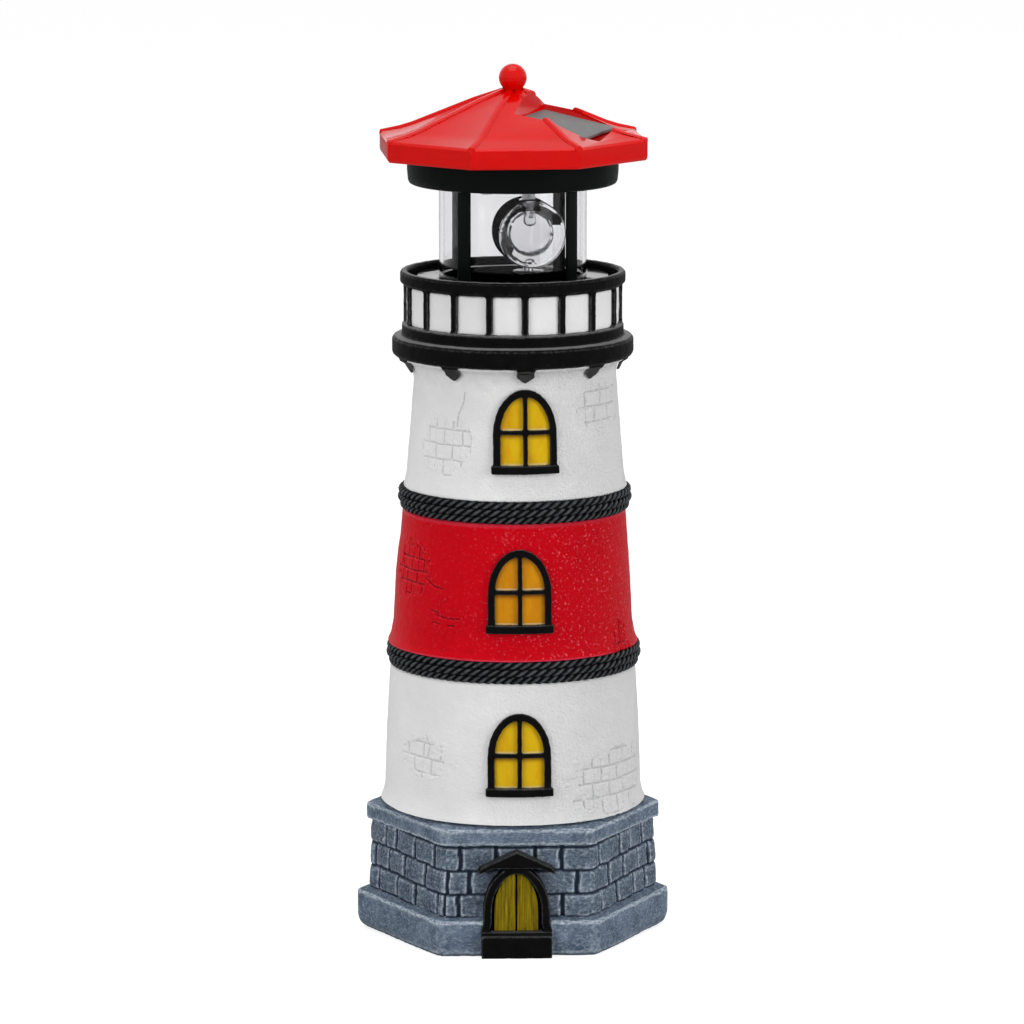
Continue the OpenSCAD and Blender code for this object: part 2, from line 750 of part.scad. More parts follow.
module in_lantern() rotate([0, 0, lantern_turn]) children();
module at_beacon(z) in_lantern() translate([beacon_at[0], beacon_at[1], z]) children();
module at_idler(z) in_lantern() translate([idler_at[0], idler_at[1], z]) children();
module at_motor(z) in_lantern() translate([motor_at[0], motor_at[1], z]) children();

plate_post_turns = [25, 115, 270];
cover_post_turns = [0, 95, 230];
cover_post_r = foot_r_in - 2.4;
screw_core = 0.9;
plate_screw_l = 5;
cover_screw_l = 7;
screw_hole = 1.2;
screw_head_d = 4.4;
screw_head_h = 1.6;
head_sink = 0.9;

module lantern_base() color([0.04, 0.04, 0.05]) in_lantern() {
  difference() {
    union() {
      // the flange, with a raised seat round the clear tube
      turned([
        [flange_r - 0.4, flange_z], [flange_r, flange_z + 0.5],
        [flange_r, floor_z - 0.5], [flange_r - 0.5, floor_z]
      ]);
      translate([0, 0, foot_z + plate_t + seat])
        cylinder(r = foot_r_out, h = flange_z - foot_z - plate_t, $fn = big_n);
    }
    difference() {
      translate([0, 0, foot_z - 1]) cylinder(r = foot_r_in, h = flange_z - foot_z + 1, $fn = big_n);
      for (a = plate_post_turns) rotate([0, 0, a]) translate([plate_post_r, 0, gear_plate_z + plate_t + seat])
        cylinder(r = 2.6, h = 40, $fn = fine);
      for (a = cover_post_turns) rotate([0, 0, a]) translate([cover_post_r, 0, foot_z + plate_t + seat])
        cylinder(r = 2.6, h = 8, $fn = fine);
    }
    for (a = plate_post_turns) rotate([0, 0, a]) translate([plate_post_r, 0, gear_plate_z])
      cylinder(r = screw_core, h = plate_t + plate_screw_l + 1.4, $fn = fine);
    for (a = cover_post_turns) rotate([0, 0, a]) translate([cover_post_r, 0, foot_z])
      cylinder(r = screw_core, h = plate_t + cover_screw_l - 0.6, $fn = fine);
    translate([beacon_at[0], beacon_at[1], flange_z - 1]) cylinder(d = bush_d + 2 * seat, h = 10, $fn = fine);
    translate([idler_at[0], idler_at[1], flange_z - 1])
      cylinder(d = pin_d + 2 * seat, h = 1 + flange_t * 0.6, $fn = fine);
    translate([0, 0, floor_z - 0.8]) tube(tube_r + seat, tube_r - tube_wall - seat, 2, big_n);
  }
}

module lamp_tube() color([0.85, 0.9, 0.95, 0.35]) in_lantern()
  translate([0, 0, floor_z - 0.8 + seat]) tube(tube_r, tube_r - tube_wall, tube_h + 0.8 - 2 * seat, big_n);

module lantern_posts() color([0.05, 0.05, 0.06]) in_lantern()
  for (k = [0 : 3]) rotate([0, 0, 45 + 90 * k]) intersection() {
    translate([0, 0, floor_z + seat]) tube(tube_r + 0.1 + post_t, tube_r + 0.1, tube_h - 2 * seat, big_n);
    translate([0, -post_w / 2, floor_z]) cube([60, post_w, tube_h]);
  }

module roof_collar() color([0.05, 0.05, 0.06]) in_lantern() {
  difference() {
    turned([
      [collar_r - 2, collar_z], [collar_r - 0.9, collar_z + 0.5], [collar_r - 0.4, collar_z + 1.6],
      [collar_r, collar_z + 6], [collar_r, collar_top_z]
    ]);
    translate([0, 0, collar_z + collar_wall]) cylinder(r = collar_r - collar_wall, h = 40, $fn = big_n);
    translate([beacon_at[0], beacon_at[1], collar_z - 1]) cylinder(d = lamp_d + 2, h = 10, $fn = fine);
    for (a = roof_boss_turns) rotate([0, 0, a]) translate([roof_boss_r, 0, collar_z - 1]) {
      cylinder(r = screw_hole, h = 10, $fn = fine);
      cylinder(d = screw_head_d + 0.8, h = 1 + head_sink, $fn = fine);
    }
  }
  // posts for the circuit board
  for (p = board_posts) translate([p[0], p[1], collar_z + collar_wall - 0.5])
    tube(2.2, screw_core, board_z - collar_z - collar_wall + 0.5 - seat, fine);
}

// ---- Roof ----

roof_boss_turns = [67.5, 157.5, 247.5];
roof_boss_r = collar_r - 7.3;
roof_boss_z = collar_z + collar_wall + seat;
roof_screw_l = 7.5;
ball_peg_r = 1.6;
ball_peg_l = 3;

// Corner radius and height of the roof's outside, from the lower edge to the neck
roof_line = [
  [eaves_r - 0.8, fascia_z], [eaves_r - 0.2, fascia_z + 0.8], [eaves_r, fascia_z + 2], [eaves_r, eaves_z - 1],
  [eaves_r - 1, eaves_z],
  [eaves_r * 0.85, eaves_z + roof_rise * 0.085], [eaves_r * 0.765, eaves_z + roof_rise * 0.18],
  [eaves_r * 0.53, eaves_z + roof_rise * 0.48], [eaves_r * 0.3, eaves_z + roof_rise * 0.77], [4.5, peak_z]
];
roof_inner_line = [
  [eaves_r - roof_wall, fascia_z - 1], [eaves_r - roof_wall, eaves_z - 1.6],
  [eaves_r * 0.85 - 0.5, eaves_z + roof_rise * 0.085 - roof_wall],
  [eaves_r * 0.765, eaves_z + roof_rise * 0.18 - roof_wall],
  [eaves_r * 0.53, eaves_z + roof_rise * 0.48 - roof_wall],
  [eaves_r * 0.3, eaves_z + roof_rise * 0.77 - roof_wall],
  [4.5, peak_z - roof_wall]
];

// The rounded rib on one hip, swept up the roof's outline
module hip_rib() {
  line = [for (k = [4 : len(roof_line) - 1]) roof_line[k]];
  w = rib_w / 2;
  shape = [[-w, -1], [-w, 0.2], [-w / 2, rib_h], [w / 2, rib_h], [w, 0.2], [w, -1]];
  loft([for (k = [0 : len(line) - 1]) let (past = k == 0 ? 0.7 : 0, sink = k == 0 ? 0.4 : 0)
    [for (p = shape) [line[k][0] + past, p[0], line[k][1] + p[1] - sink]]]);
}

// The panel's bed: a block above a sloping plane, with the same walls moved out by grow
module bed_block(grow, sink) {
  run_x = bed_end - bed_start + 2 * grow;
  drop = run_x * tan(panel_slope);
  top = peak_z + 10;
  low = bed_z - panel_t / cos(panel_slope) - sink - (bed_start - grow) * tan(panel_slope);
  rotate([0, 0, hip_turn]) translate([bed_start - grow, bed_half + grow, 0]) rotate([90, 0, 0])
    linear_extrude(2 * (bed_half + grow)) polygon([[0, low], [run_x, low - drop], [run_x, top], [0, top]]);
}

module roof_bosses(r, z_low, z_high) {
  for (a = roof_boss_turns) rotate([0, 0, a]) translate([roof_boss_r, 0, z_low])
    cylinder(r = r, h = z_high - z_low, $fn = fine);
}

module roof() color([0.85, 0.07, 0.03]) in_lantern() {
  difference() {
    union() {
      loft([for (p = roof_line) octagon_ring(p[0], p[1])]);
      for (k = [0 : 7]) rotate([0, 0, 22.5 + 45 * k]) hip_rib();
      roof_bosses(3, roof_boss_z, eaves_z);
    }
    bed_block(0, seat);
    difference() {
      loft([for (p = roof_inner_line) octagon_ring(p[0], p[1])]);
      bed_block(roof_wall, seat + roof_wall);
      roof_bosses(3, roof_boss_z - 1, peak_z);
    }
    roof_bosses(screw_core, roof_boss_z - 1, roof_boss_z + roof_screw_l + 0.5);
    translate([0, 0, peak_z - ball_peg_l - roof_wall]) cylinder(r = ball_peg_r, h = ball_peg_l + ball_d, $fn = fine);
  }
}

module roof_ball() color([0.85, 0.07, 0.03]) in_lantern() {
  turned([[3, peak_z + seat], [2.6, peak_z + 0.5], [2.6, peak_z + 1.4]], fine);
  difference() {
    translate([0, 0, ball_z]) sphere(d = ball_d, $fn = 48);
    translate([0, 0, peak_z + seat - ball_d]) cylinder(d = ball_d, h = ball_d, $fn = fine);
  }
  translate([0, 0, peak_z - ball_peg_l]) cylinder(r = ball_peg_r - seat, h = ball_peg_l + 1, $fn = fine);
}

module solar_panel() color([0.42, 0.43, 0.44]) in_lantern() rotate([0, 0, hip_turn])
  translate([panel_top, 0, bed_z - panel_top * tan(panel_slope)]) rotate([0, panel_slope, 0])
    translate([0, -panel_w / 2, -panel_t]) cube([panel_l, panel_w, panel_t]);

// Self-tapping screw with a pan head, standing on z = 0, its thread upwards
module tapping_screw(length, head_d = screw_head_d, head_h = screw_head_h) {
  difference() {
    union() {
      cylinder(d = head_d, h = head_h, $fn = fine);
      cylinder(r = screw_core - run, h = head_h + length, $fn = fine);
    }
    for (a = [0, 90]) rotate([0, 0, a]) translate([-head_d * 0.35, -0.3, -1]) cube([head_d * 0.7, 0.6, 1.8]);
  }
}

module roof_screws() color([0.7, 0.7, 0.72]) in_lantern()
  for (a = roof_boss_turns) rotate([0, 0, a])
    translate([roof_boss_r, 0, collar_z + head_sink - screw_head_h - seat]) tapping_screw(roof_screw_l);

// ---- Lamp and circuit board ----

board_size = [40, 26];
board_t = 1.4;
board_screw_l = 4;
board_head_d = 3.8;
board_head_h = 1.2;
lamp_pitch = 2.54;

// Places of the four posts that carry the board, in the lantern's frame
board_posts = [for (x = [-1, 1], y = [-1, 1])
  [beacon_at[0] + x * (board_size[0] / 2 - 3), y * (board_size[1] / 2 - 3)]];

module circuit_board() color([0.05, 0.3, 0.12]) in_lantern() difference() {
  translate([beacon_at[0] - board_size[0] / 2, -board_size[1] / 2, board_z])
    cube([board_size[0], board_size[1], board_t]);
  for (p = board_posts) translate([p[0], p[1], board_z - 1]) cylinder(r = screw_hole, h = 4, $fn = fine);
  for (side = [-1, 1]) translate([beacon_at[0] + side * lamp_pitch / 2, 0, board_z - 1])
    cylinder(r = 0.4, h = 4, $fn = fine);
}

// Screws that hold the board down on its posts
module board_screws() color([0.7, 0.7, 0.72]) in_lantern()
  for (p = board_posts) translate([p[0], p[1], board_z + board_t + seat + board_head_h]) mirror([0, 0, 1])
    tapping_screw(board_t + board_screw_l, board_head_d, board_head_h);

module board_parts() color([0.1, 0.1, 0.11]) in_lantern()
  translate([beacon_at[0], 0, board_z + board_t + seat]) {
  translate([-12, 3, 0]) cube([5, 4, 1.6]);
  translate([9, -6, 0]) cylinder(d = 6, h = 3, $fn = fine);
  translate([-12, -7, 0]) cylinder(d = 5, h = 5, $fn = fine);
}

lamp_base_z = lamp_tip_z + lamp_l;
spacer_h = board_z - lamp_base_z - seat;

module lamp() color([0.9, 0.92, 0.95, 0.6]) at_beacon(0) {
  translate([0, 0, lamp_tip_z + lamp_d / 2]) sphere(d = lamp_d, $fn = fine);
  translate([0, 0, lamp_tip_z + lamp_d / 2]) cylinder(d = lamp_d, h = lamp_l - lamp_d / 2, $fn = fine);
  translate([0, 0, lamp_base_z - 1]) cylinder(d = lamp_d + 0.8, h = 1, $fn = fine);
  for (side = [-1, 1]) translate([side * lamp_pitch / 2 - 0.25, -0.25, lamp_base_z - 0.5])
    cube([0.5, 0.5, board_z + board_t + 0.8 - lamp_base_z]);
}

module lamp_spacer() color([0.8, 0.82, 0.84]) at_beacon(lamp_base_z + seat) difference() {
  cylinder(d = lamp_d + 0.4, h = spacer_h - seat, $fn = fine);
  for (side = [-1, 1]) translate([side * lamp_pitch / 2 - 0.35, -0.35, -1]) cube([0.7, 0.7, spacer_h + 2]);
}

// ---- Beacon ----

bush_d = spindle_d + 2.6;

module in_drum() at_beacon(drum_z) rotate([0, 0, beacon_turn - lantern_turn]) rotate([90, 0, 0]) children();

// A clear drum on its side: two bevelled mouths, a lens seat in each and a hollow between them
module beacon_drum() color([0.85, 0.9, 0.95, 0.35]) {
  half = drum_l / 2;
  outer = drum_d / 2;
  mouth = lens_d / 2;
  difference() {
    union() {
      in_drum() rotate_extrude($fn = big_n) polygon([
          [mouth - 1.2, -half + 5.6], [mouth, -half + 5.6], [mouth, -half + 3.4], [outer - 1.6, -half],
          [outer - 0.5, -half], [outer, -half + 0.5], [outer, half - 0.5], [outer - 0.5, half],
          [outer - 1.6, half], [mouth, half - 3.4], [mouth, half - 5.6], [mouth - 1.2, half - 5.6],
          [mouth - 0.2, half - 6.6], [mouth - 0.2, -half + 6.6]
      ]);
      at_beacon(turntable_z + turntable_t + seat)
        cylinder(d = stem_d, h = drum_z - outer - turntable_z - turntable_t + 1, $fn = fine);
    }
    at_beacon(drum_z) cylinder(d = lamp_hole_d, h = drum_d, $fn = fine);
    at_beacon(turntable_z) cylinder(d = spindle_d + 2 * run, h = turntable_t + 1.6, $fn = fine);
  }
}

module beacon_lenses() color([0.88, 0.92, 0.96, 0.35]) {
  half = drum_l / 2;
  mouth = lens_d / 2 - seat;
  in_drum() for (side = [0, 1]) mirror([0, 0, side]) translate([0, 0, half - 5.6 + seat])
    turned([[mouth, 0], [mouth, 1.6], [mouth * 0.8, 1.9], [mouth * 0.5, 2.15], [mouth * 0.2, 2.25]], round_n);
}

module turntable() color([0.75, 0.78, 0.8]) at_beacon(turntable_z) difference() {
  turned([[turntable_d / 2 - 0.4, 0], [turntable_d / 2, 0.4], [turntable_d / 2, turntable_t - 0.4],
    [turntable_d / 2 - 0.4, turntable_t]], round_n);
  translate([0, 0, -1]) cylinder(d = spindle_d + 2 * run, h = 10, $fn = fine);
}

module beacon_spindle() color([0.75, 0.75, 0.77]) at_beacon(gear_plate_z + 0.4)
  cylinder(d = spindle_d, h = turntable_z + turntable_t + 1.2 - gear_plate_z - 0.4, $fn = fine);

module spindle_bush() color([0.72, 0.55, 0.25]) at_beacon(0) {
  translate([0, 0, flange_z - 0.6]) tube(bush_d / 2, spindle_d / 2 + run, flange_t + 0.6 - seat, fine);
  translate([0, 0, flange_z - 1]) tube(bush_d / 2 + 1, spindle_d / 2 + run, 1 - seat, fine);
}

// ---- Gears ----

addendum = 0.8;
dedendum = 1.1;
hub_drop = 0.6;
function inv(r, base_r) = let (t = sqrt(max(0, r * r / base_r / base_r - 1))) (t * 180 / PI) - atan(t);

// A spur gear's outline, with a tooth centred on the given direction
module gear_outline(teeth, tooth_dir) {
  pitch_r = gear_m * teeth / 2;
  base_r = pitch_r * cos(pressure_angle);
  tip_r = pitch_r + addendum * gear_m;
  root_r = pitch_r - dedendum * gear_m;
  low_r = max(base_r, root_r + 0.02);
  half_turn = 90 / teeth - backlash / 4 / pitch_r * 180 / PI + inv(pitch_r, base_r);
  flank = [for (k = [0 : 2]) low_r + (tip_r - low_r) * k / 2];
  function at(r, a) = [r * cos(a), r * sin(a)];
  polygon([for (k = [0 : teeth - 1]) let (c = tooth_dir + 360 * k / teeth) each concat(
    [at(root_r, c - half_turn + inv(low_r, base_r))],
    [for (r = flank) at(r, c - half_turn + inv(r, base_r))],
    [for (k = [2 : -1 : 0]) at(flank[k], c + half_turn - inv(flank[k], base_r))],
    [at(root_r, c + half_turn - inv(low_r, base_r))]
  )]);
}

module beacon_gear() color([0.92, 0.92, 0.88]) at_beacon(beacon_gear_z) difference() {
  union() {
    linear_extrude(gear_w) gear_outline(beacon_teeth, idler_dir);
    translate([0, 0, -hub_drop]) cylinder(d = spindle_d + 4, h = gear_w + hub_drop, $fn = fine);
  }
  translate([0, 0, -2]) cylinder(d = spindle_d + 2 * run, h = gear_w + 4, $fn = fine);
  for (k = [0 : 4]) rotate([0, 0, idler_dir + 72 * k]) translate([beacon_pitch_r * 0.58, 0, -1])
    cylinder(r = beacon_pitch_r * 0.2, h = gear_w + 2, $fn = fine);
}

module idler_gear() color([0.9, 0.9, 0.86]) at_idler(0) difference() {
  union() {
    translate([0, 0, wheel_z]) linear_extrude(wheel_w) gear_outline(idler_wheel_teeth, motor_dir);
    translate([0, 0, wheel_z + wheel_w - 0.5]) linear_extrude(gear_top_z - wheel_z - wheel_w + 0.5)
      gear_outline(idler_pinion_teeth, idler_dir + 180 + 180 / idler_pinion_teeth);
  }
  translate([0, 0, wheel_z - 1]) cylinder(d = pin_d + 2 * run, h = 20, $fn = fine);
  for (k = [0 : 4]) rotate([0, 0, 72 * k]) translate([gear_m * idler_wheel_teeth * 0.31, 0, wheel_z - 1])
    cylinder(r = gear_m * idler_wheel_teeth * 0.1, h = wheel_w + 2, $fn = fine);
}

module idler_pin() color([0.75, 0.75, 0.77]) at_idler(gear_plate_z + plate_t * 0.25)
  cylinder(d = pin_d, h = flange_z + flange_t * 0.5 - gear_plate_z - plate_t * 0.25, $fn = fine);

// The plate that closes the gear space from below, with a boss that the idler turns on
module gear_plate() color([0.15, 0.15, 0.16]) in_lantern() difference() {
  union() {
    translate([0, 0, gear_plate_z]) cylinder(r = gear_plate_r, h = plate_t, $fn = round_n);
    for (a = plate_post_turns) rotate([0, 0, a]) {
      translate([0, -3, gear_plate_z]) cube([plate_post_r, 6, plate_t]);
      translate([plate_post_r, 0, gear_plate_z]) cylinder(r = 3, h = plate_t, $fn = fine);
    }
    translate([idler_at[0], idler_at[1], gear_plate_z])
      cylinder(d = pin_d + 3, h = plate_t + layer_gap - 2 * seat, $fn = fine);
  }
  for (a = plate_post_turns) rotate([0, 0, a]) translate([plate_post_r, 0, gear_plate_z - 1])
    cylinder(r = screw_hole, h = plate_t + 2, $fn = fine);
  translate([beacon_at[0], beacon_at[1], gear_plate_z + 0.3])
    cylinder(d = spindle_d + 2 * run, h = plate_t, $fn = fine);
  translate([idler_at[0], idler_at[1], gear_plate_z + 0.4])
    cylinder(d = pin_d + 2 * seat, h = plate_t + layer_gap, $fn = fine);
  translate([motor_at[0], motor_at[1], gear_plate_z - 1])
    cylinder(d = motor_boss_d + 0.4, h = plate_t + 2, $fn = fine);
}

module gear_plate_screws() color([0.7, 0.7, 0.72]) in_lantern() for (a = plate_post_turns) rotate([0, 0, a])
  translate([plate_post_r, 0, gear_plate_z - screw_head_h - seat]) tapping_screw(plate_t + plate_screw_l);

module motor() color([0.72, 0.73, 0.75]) at_motor(motor_z) difference() {
  union() {
    intersection() {
      cylinder(d = motor_d, h = motor_l - seat, $fn = round_n);
      translate([-motor_d / 2 - 1, -motor_flats / 2, 0]) cube([motor_d + 2, motor_flats, motor_l]);
    }
    translate([0, 0, motor_l - 1]) cylinder(d = motor_boss_d, h = 2.4, $fn = fine);
  }
  translate([0, 0, motor_l - 5]) cylinder(d = pin_d + 2 * run, h = 20, $fn = fine);
}

module motor_pinion() color([0.75, 0.6, 0.25]) at_motor(0) {
  translate([0, 0, wheel_z - 0.2]) linear_extrude(wheel_w + 0.6)
    gear_outline(motor_teeth, motor_dir + 180 + 180 / motor_teeth);
  translate([0, 0, motor_z + motor_l - 4.8])
    cylinder(d = pin_d, h = wheel_z - motor_z - motor_l + 5.5, $fn = fine);
}

// ---- Cover, battery and switch ----

knob_size = [4, 3, 5.6];
knob_gap = 0.3;
cover_sink = 0.8;
door_size = [bay_l - 4, battery_d + 3];
tab_off = 2.2;
tab_end = 2.9;
tab_w = 6.6;
tab_t = 0.85;
door_screw_at = [battery_at[0] - door_size[0] / 2 - tab_off, battery_at[1]];

module base_cover() color([0.05, 0.05, 0.06]) in_lantern() difference() {
  union() {
    translate([0, 0, foot_z]) cylinder(r = foot_r_out, h = plate_t, $fn = big_n);
    // walls that hold the battery, cut by the foot's own round
    translate([
      battery_at[0] - bay_l / 2 - bay_wall,
      battery_at[1] - battery_d / 2 - bay_wall - bay_gap,
      foot_z
    ])
      cube([bay_l + 2 * bay_wall, battery_d + 2 * bay_wall + 2 * bay_gap, plate_t + battery_d * 0.7]);
  }
  translate([battery_at[0] - bay_l / 2, battery_at[1] - battery_d / 2 - bay_gap, foot_z + plate_t * 0.5])
    cube([bay_l, battery_d + 2 * bay_gap, battery_d + 5]);
  translate([battery_at[0] - door_size[0] / 2 - seat, battery_at[1] - door_size[1] / 2 - seat, foot_z - 1])
    cube([door_size[0] + 2 * seat, door_size[1] + 2 * seat, plate_t + 1.05]);
  // the pocket for the door's tab, open towards the door
  translate([door_screw_at[0] - tab_end - 2 * seat, door_screw_at[1] - tab_w / 2 - 2 * seat, foot_z - 1])
    cube([tab_end + tab_off + 4 * seat, tab_w + 4 * seat, 1 + tab_t + seat]);
  translate([door_screw_at[0], door_screw_at[1], foot_z - 1]) cylinder(r = screw_core, h = 6.5, $fn = fine);
  translate([0, 0, tray_z]) tube(foot_r_out + 5, foot_r_in - seat, 30, big_n);
  for (a = cover_post_turns) rotate([0, 0, a]) translate([cover_post_r, 0, foot_z - 1]) {
    cylinder(r = screw_hole, h = plate_t + 2, $fn = fine);
    cylinder(d = screw_head_d + 0.6, h = 1 + cover_sink, $fn = fine);
    translate([0, 0, 1 + plate_t]) cylinder(r = 3, h = 30, $fn = fine);
  }
  translate([
    switch_at[0] - knob_size[0] / 2 - switch_travel / 2 - knob_gap,
    switch_at[1] - knob_size[1] / 2 - knob_gap,
    foot_z - 1
  ])
    cube([knob_size[0] + switch_travel + 2 * knob_gap, knob_size[1] + 2 * knob_gap, plate_t + 2]);
}

module base_cover_screws() color([0.7, 0.7, 0.72]) in_lantern() for (a = cover_post_turns) rotate([0, 0, a])
  translate([cover_post_r, 0, foot_z + cover_sink - screw_head_h - seat]) tapping_screw(cover_screw_l);

module battery() color([0.2, 0.5, 0.3]) in_lantern()
  translate([battery_at[0] - battery_l / 2, battery_at[1], battery_z]) rotate([0, 90, 0]) {
    cylinder(d = battery_d, h = battery_l - 1.4, $fn = round_n);
    cylinder(d = 5.2, h = battery_l, $fn = fine);
  }

module battery_plus_contact() color([0.8, 0.78, 0.7]) in_lantern()
  translate([battery_at[0] + battery_l / 2 + seat, battery_at[1] - 4.5, tray_z + 1.2]) {
    cube([0.5, 9, battery_d * 0.75]);
    translate([0.4, 2.5, battery_d * 0.5]) cube([bay_l / 2 - battery_l / 2 - 0.5, 4, 0.4]);
  }

// A coned spring of round wire on a plate, pressing on the battery's flat end
module battery_spring_contact() color([0.8, 0.78, 0.7]) in_lantern()
  translate([battery_at[0] - bay_l / 2 + seat, battery_at[1], battery_z]) rotate([0, 90, 0]) {
    translate([-4.5, -4.5, 0]) cube([9, 9, 0.4]);
    coil_spring(4, 2.2, 0.3, bay_l / 2 - battery_l / 2 - 0.75, 3, 12);
  }

// A coil that narrows upwards, standing on z = 0
module coil_spring(r_low, r_high, wire_r, height, turns, steps) {
  rings = turns * steps;
  sides = 6;
  polyhedron(
    points = [for (i = [0 : rings], j = [0 : sides - 1])
      let (t = i / rings, a = 360 * turns * t, r = r_low + (r_high - r_low) * t + wire_r * cos(60 * j))
      [r * cos(a), r * sin(a), wire_r + 0.3 + (height - 2 * wire_r - 0.3) * t + wire_r * sin(60 * j)]],
    faces = concat(
      [[for (j = [sides - 1 : -1 : 0]) j]],
      [[for (j = [0 : sides - 1]) rings * sides + j]],
      [for (i = [0 : rings - 1], j = [0 : sides - 1], half = [0, 1])
        let (a = i * sides + j, b = i * sides + (j + 1) % sides, c = a + sides, d = b + sides)
        half == 0 ? [a, b, d] : [a, d, c]]
    ),
    convexity = 10
  );
}

module battery_door() color([0.05, 0.05, 0.06]) in_lantern() difference() {
  union() {
    translate([battery_at[0] - door_size[0] / 2, battery_at[1] - door_size[1] / 2, foot_z])
      cube([door_size[0], door_size[1], plate_t - 0.3]);
    translate([door_screw_at[0] - tab_end, door_screw_at[1] - tab_w / 2, foot_z])
      cube([tab_end + tab_off + 1, tab_w, tab_t]);
  }
  translate([door_screw_at[0], door_screw_at[1], foot_z - 1]) cylinder(r = screw_hole, h = 5, $fn = fine);
}

module battery_door_screw() color([0.7, 0.7, 0.72]) in_lantern()
  translate([door_screw_at[0], door_screw_at[1], foot_z - 1 - seat]) tapping_screw(4, 3.8, 1);

module switch_body() color([0.75, 0.76, 0.78]) in_lantern() difference() {
  translate([switch_at[0] - switch_size[0] / 2, switch_at[1] - switch_size[1] / 2, tray_z + seat])
    cube(switch_size);
  translate([
    switch_at[0] - knob_size[0] / 2 - switch_travel / 2 - 0.2,
    switch_at[1] - knob_size[1] / 2 - 0.1,
    tray_z - 1
  ])
    cube([knob_size[0] + switch_travel + 0.4, knob_size[1] + 0.2, 1 + switch_size[2] - 1.2]);
}

module switch_knob() color([0.06, 0.06, 0.07]) in_lantern()
  translate([switch_at[0] - (switch_travel + knob_size[0]) / 2, switch_at[1] - knob_size[1] / 2, foot_z - 1.8])
    cube(knob_size);

plinth();
door_frame();
door_leaves();
lower_drum();
middle_drum();
upper_drum();
lower_rope();
upper_rope();
lower_window_frame();
middle_window_frame();
upper_window_frame();
lower_window_pane();
middle_window_pane();
upper_window_pane();
gallery_deck();
parapet_wall();
parapet_rail();
lantern_base();
lamp_tube();
lantern_posts();
roof_collar();
roof();
roof_ball();
solar_panel();
roof_screws();
circuit_board();
board_screws();
board_parts();
lamp();
lamp_spacer();
beacon_drum();
beacon_lenses();
turntable();
beacon_spindle();
beacon_gear();
spindle_bush();
idler_gear();
idler_pin();
gear_plate();
gear_plate_screws();
motor();
motor_pinion();
base_cover();
base_cover_screws();
battery();
battery_plus_contact();
battery_spring_contact();
battery_door();
battery_door_screw();
switch_body();
switch_knob();
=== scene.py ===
# %% [markdown]
# # A garden lighthouse with a turning beacon
#
# The object is a hollow cast tower, painted by hand, with a lantern of moulded plastic that
# stands in its gallery. The frame holds the real sizes of every piece. This notebook gives
# each piece the shape and the finish that the eye expects: laid ropes, rough plaster with
# bare brickwork, dry-brushed stone, glossy plastic and clear plastic.

# %% Load the frame and note its box
import json
import math

import bpy
import numpy as np
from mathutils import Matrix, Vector, noise


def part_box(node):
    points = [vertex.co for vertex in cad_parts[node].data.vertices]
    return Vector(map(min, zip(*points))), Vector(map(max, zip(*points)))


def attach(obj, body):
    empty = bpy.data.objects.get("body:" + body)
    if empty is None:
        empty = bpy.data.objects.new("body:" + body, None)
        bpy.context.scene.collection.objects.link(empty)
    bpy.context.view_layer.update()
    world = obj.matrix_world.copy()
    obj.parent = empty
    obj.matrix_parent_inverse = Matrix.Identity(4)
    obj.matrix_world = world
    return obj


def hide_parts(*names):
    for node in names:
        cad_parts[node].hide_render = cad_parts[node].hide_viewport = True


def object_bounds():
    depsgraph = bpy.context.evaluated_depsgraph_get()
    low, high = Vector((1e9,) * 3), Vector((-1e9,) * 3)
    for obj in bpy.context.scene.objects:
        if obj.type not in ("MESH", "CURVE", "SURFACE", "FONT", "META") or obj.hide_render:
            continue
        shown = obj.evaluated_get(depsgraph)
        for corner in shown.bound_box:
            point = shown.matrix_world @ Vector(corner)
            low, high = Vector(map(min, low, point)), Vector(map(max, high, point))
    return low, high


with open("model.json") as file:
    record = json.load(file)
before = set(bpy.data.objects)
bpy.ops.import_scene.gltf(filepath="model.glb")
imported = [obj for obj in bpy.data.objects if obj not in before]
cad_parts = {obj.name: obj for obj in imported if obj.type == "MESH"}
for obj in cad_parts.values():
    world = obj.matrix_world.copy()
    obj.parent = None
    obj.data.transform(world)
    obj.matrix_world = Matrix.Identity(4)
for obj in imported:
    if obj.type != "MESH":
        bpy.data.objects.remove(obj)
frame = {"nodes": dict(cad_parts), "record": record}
cad_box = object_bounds()
mm = 0.001
bpy.context.scene.view_settings.view_transform = "Standard"

# %% [markdown]
# ## The camera
#
# The photograph was taken with a long lens from a little above the tower's middle, so the
# upright lines stay parallel and the rims show as flat ovals. A camera is aimed at a point on
# the tower's axis from a given turn, height and distance. That is easier to set than angles
# typed into the camera itself.

# %% Camera
eye_turn = math.radians(-2.2)
eye_up = math.radians(9.5)
eye_distance = 2.53
aim_height = 174.7 * mm
aim_left = 0.33 * mm

eye_side = Vector((math.cos(eye_turn), math.sin(eye_turn), 0))
eye_back = Vector((
    math.sin(eye_turn) * math.cos(eye_up), -math.cos(eye_turn) * math.cos(eye_up), math.sin(eye_up),
))
aim = Vector((0, 0, aim_height)) - eye_side * aim_left
bpy.ops.object.camera_add(location=aim + eye_back * eye_distance)
camera = bpy.context.object
camera.name = "camera"
camera.rotation_euler = (-eye_back).to_track_quat("-Z", "Y").to_euler()
camera.data.sensor_width = 36
camera.data.lens = 215.6
camera.data.clip_start = 0.1
bpy.context.scene.camera = camera
print("camera stands", round(camera.location.length, 3), "m from the origin")

# %% [markdown]
# ## Node helpers
#
# A finish is a short chain of shader nodes. Two helpers keep each recipe readable: one makes
# a material with its shader, and one adds a node, sets its values and joins its inputs.

# %% Helpers for materials
finishes = {}


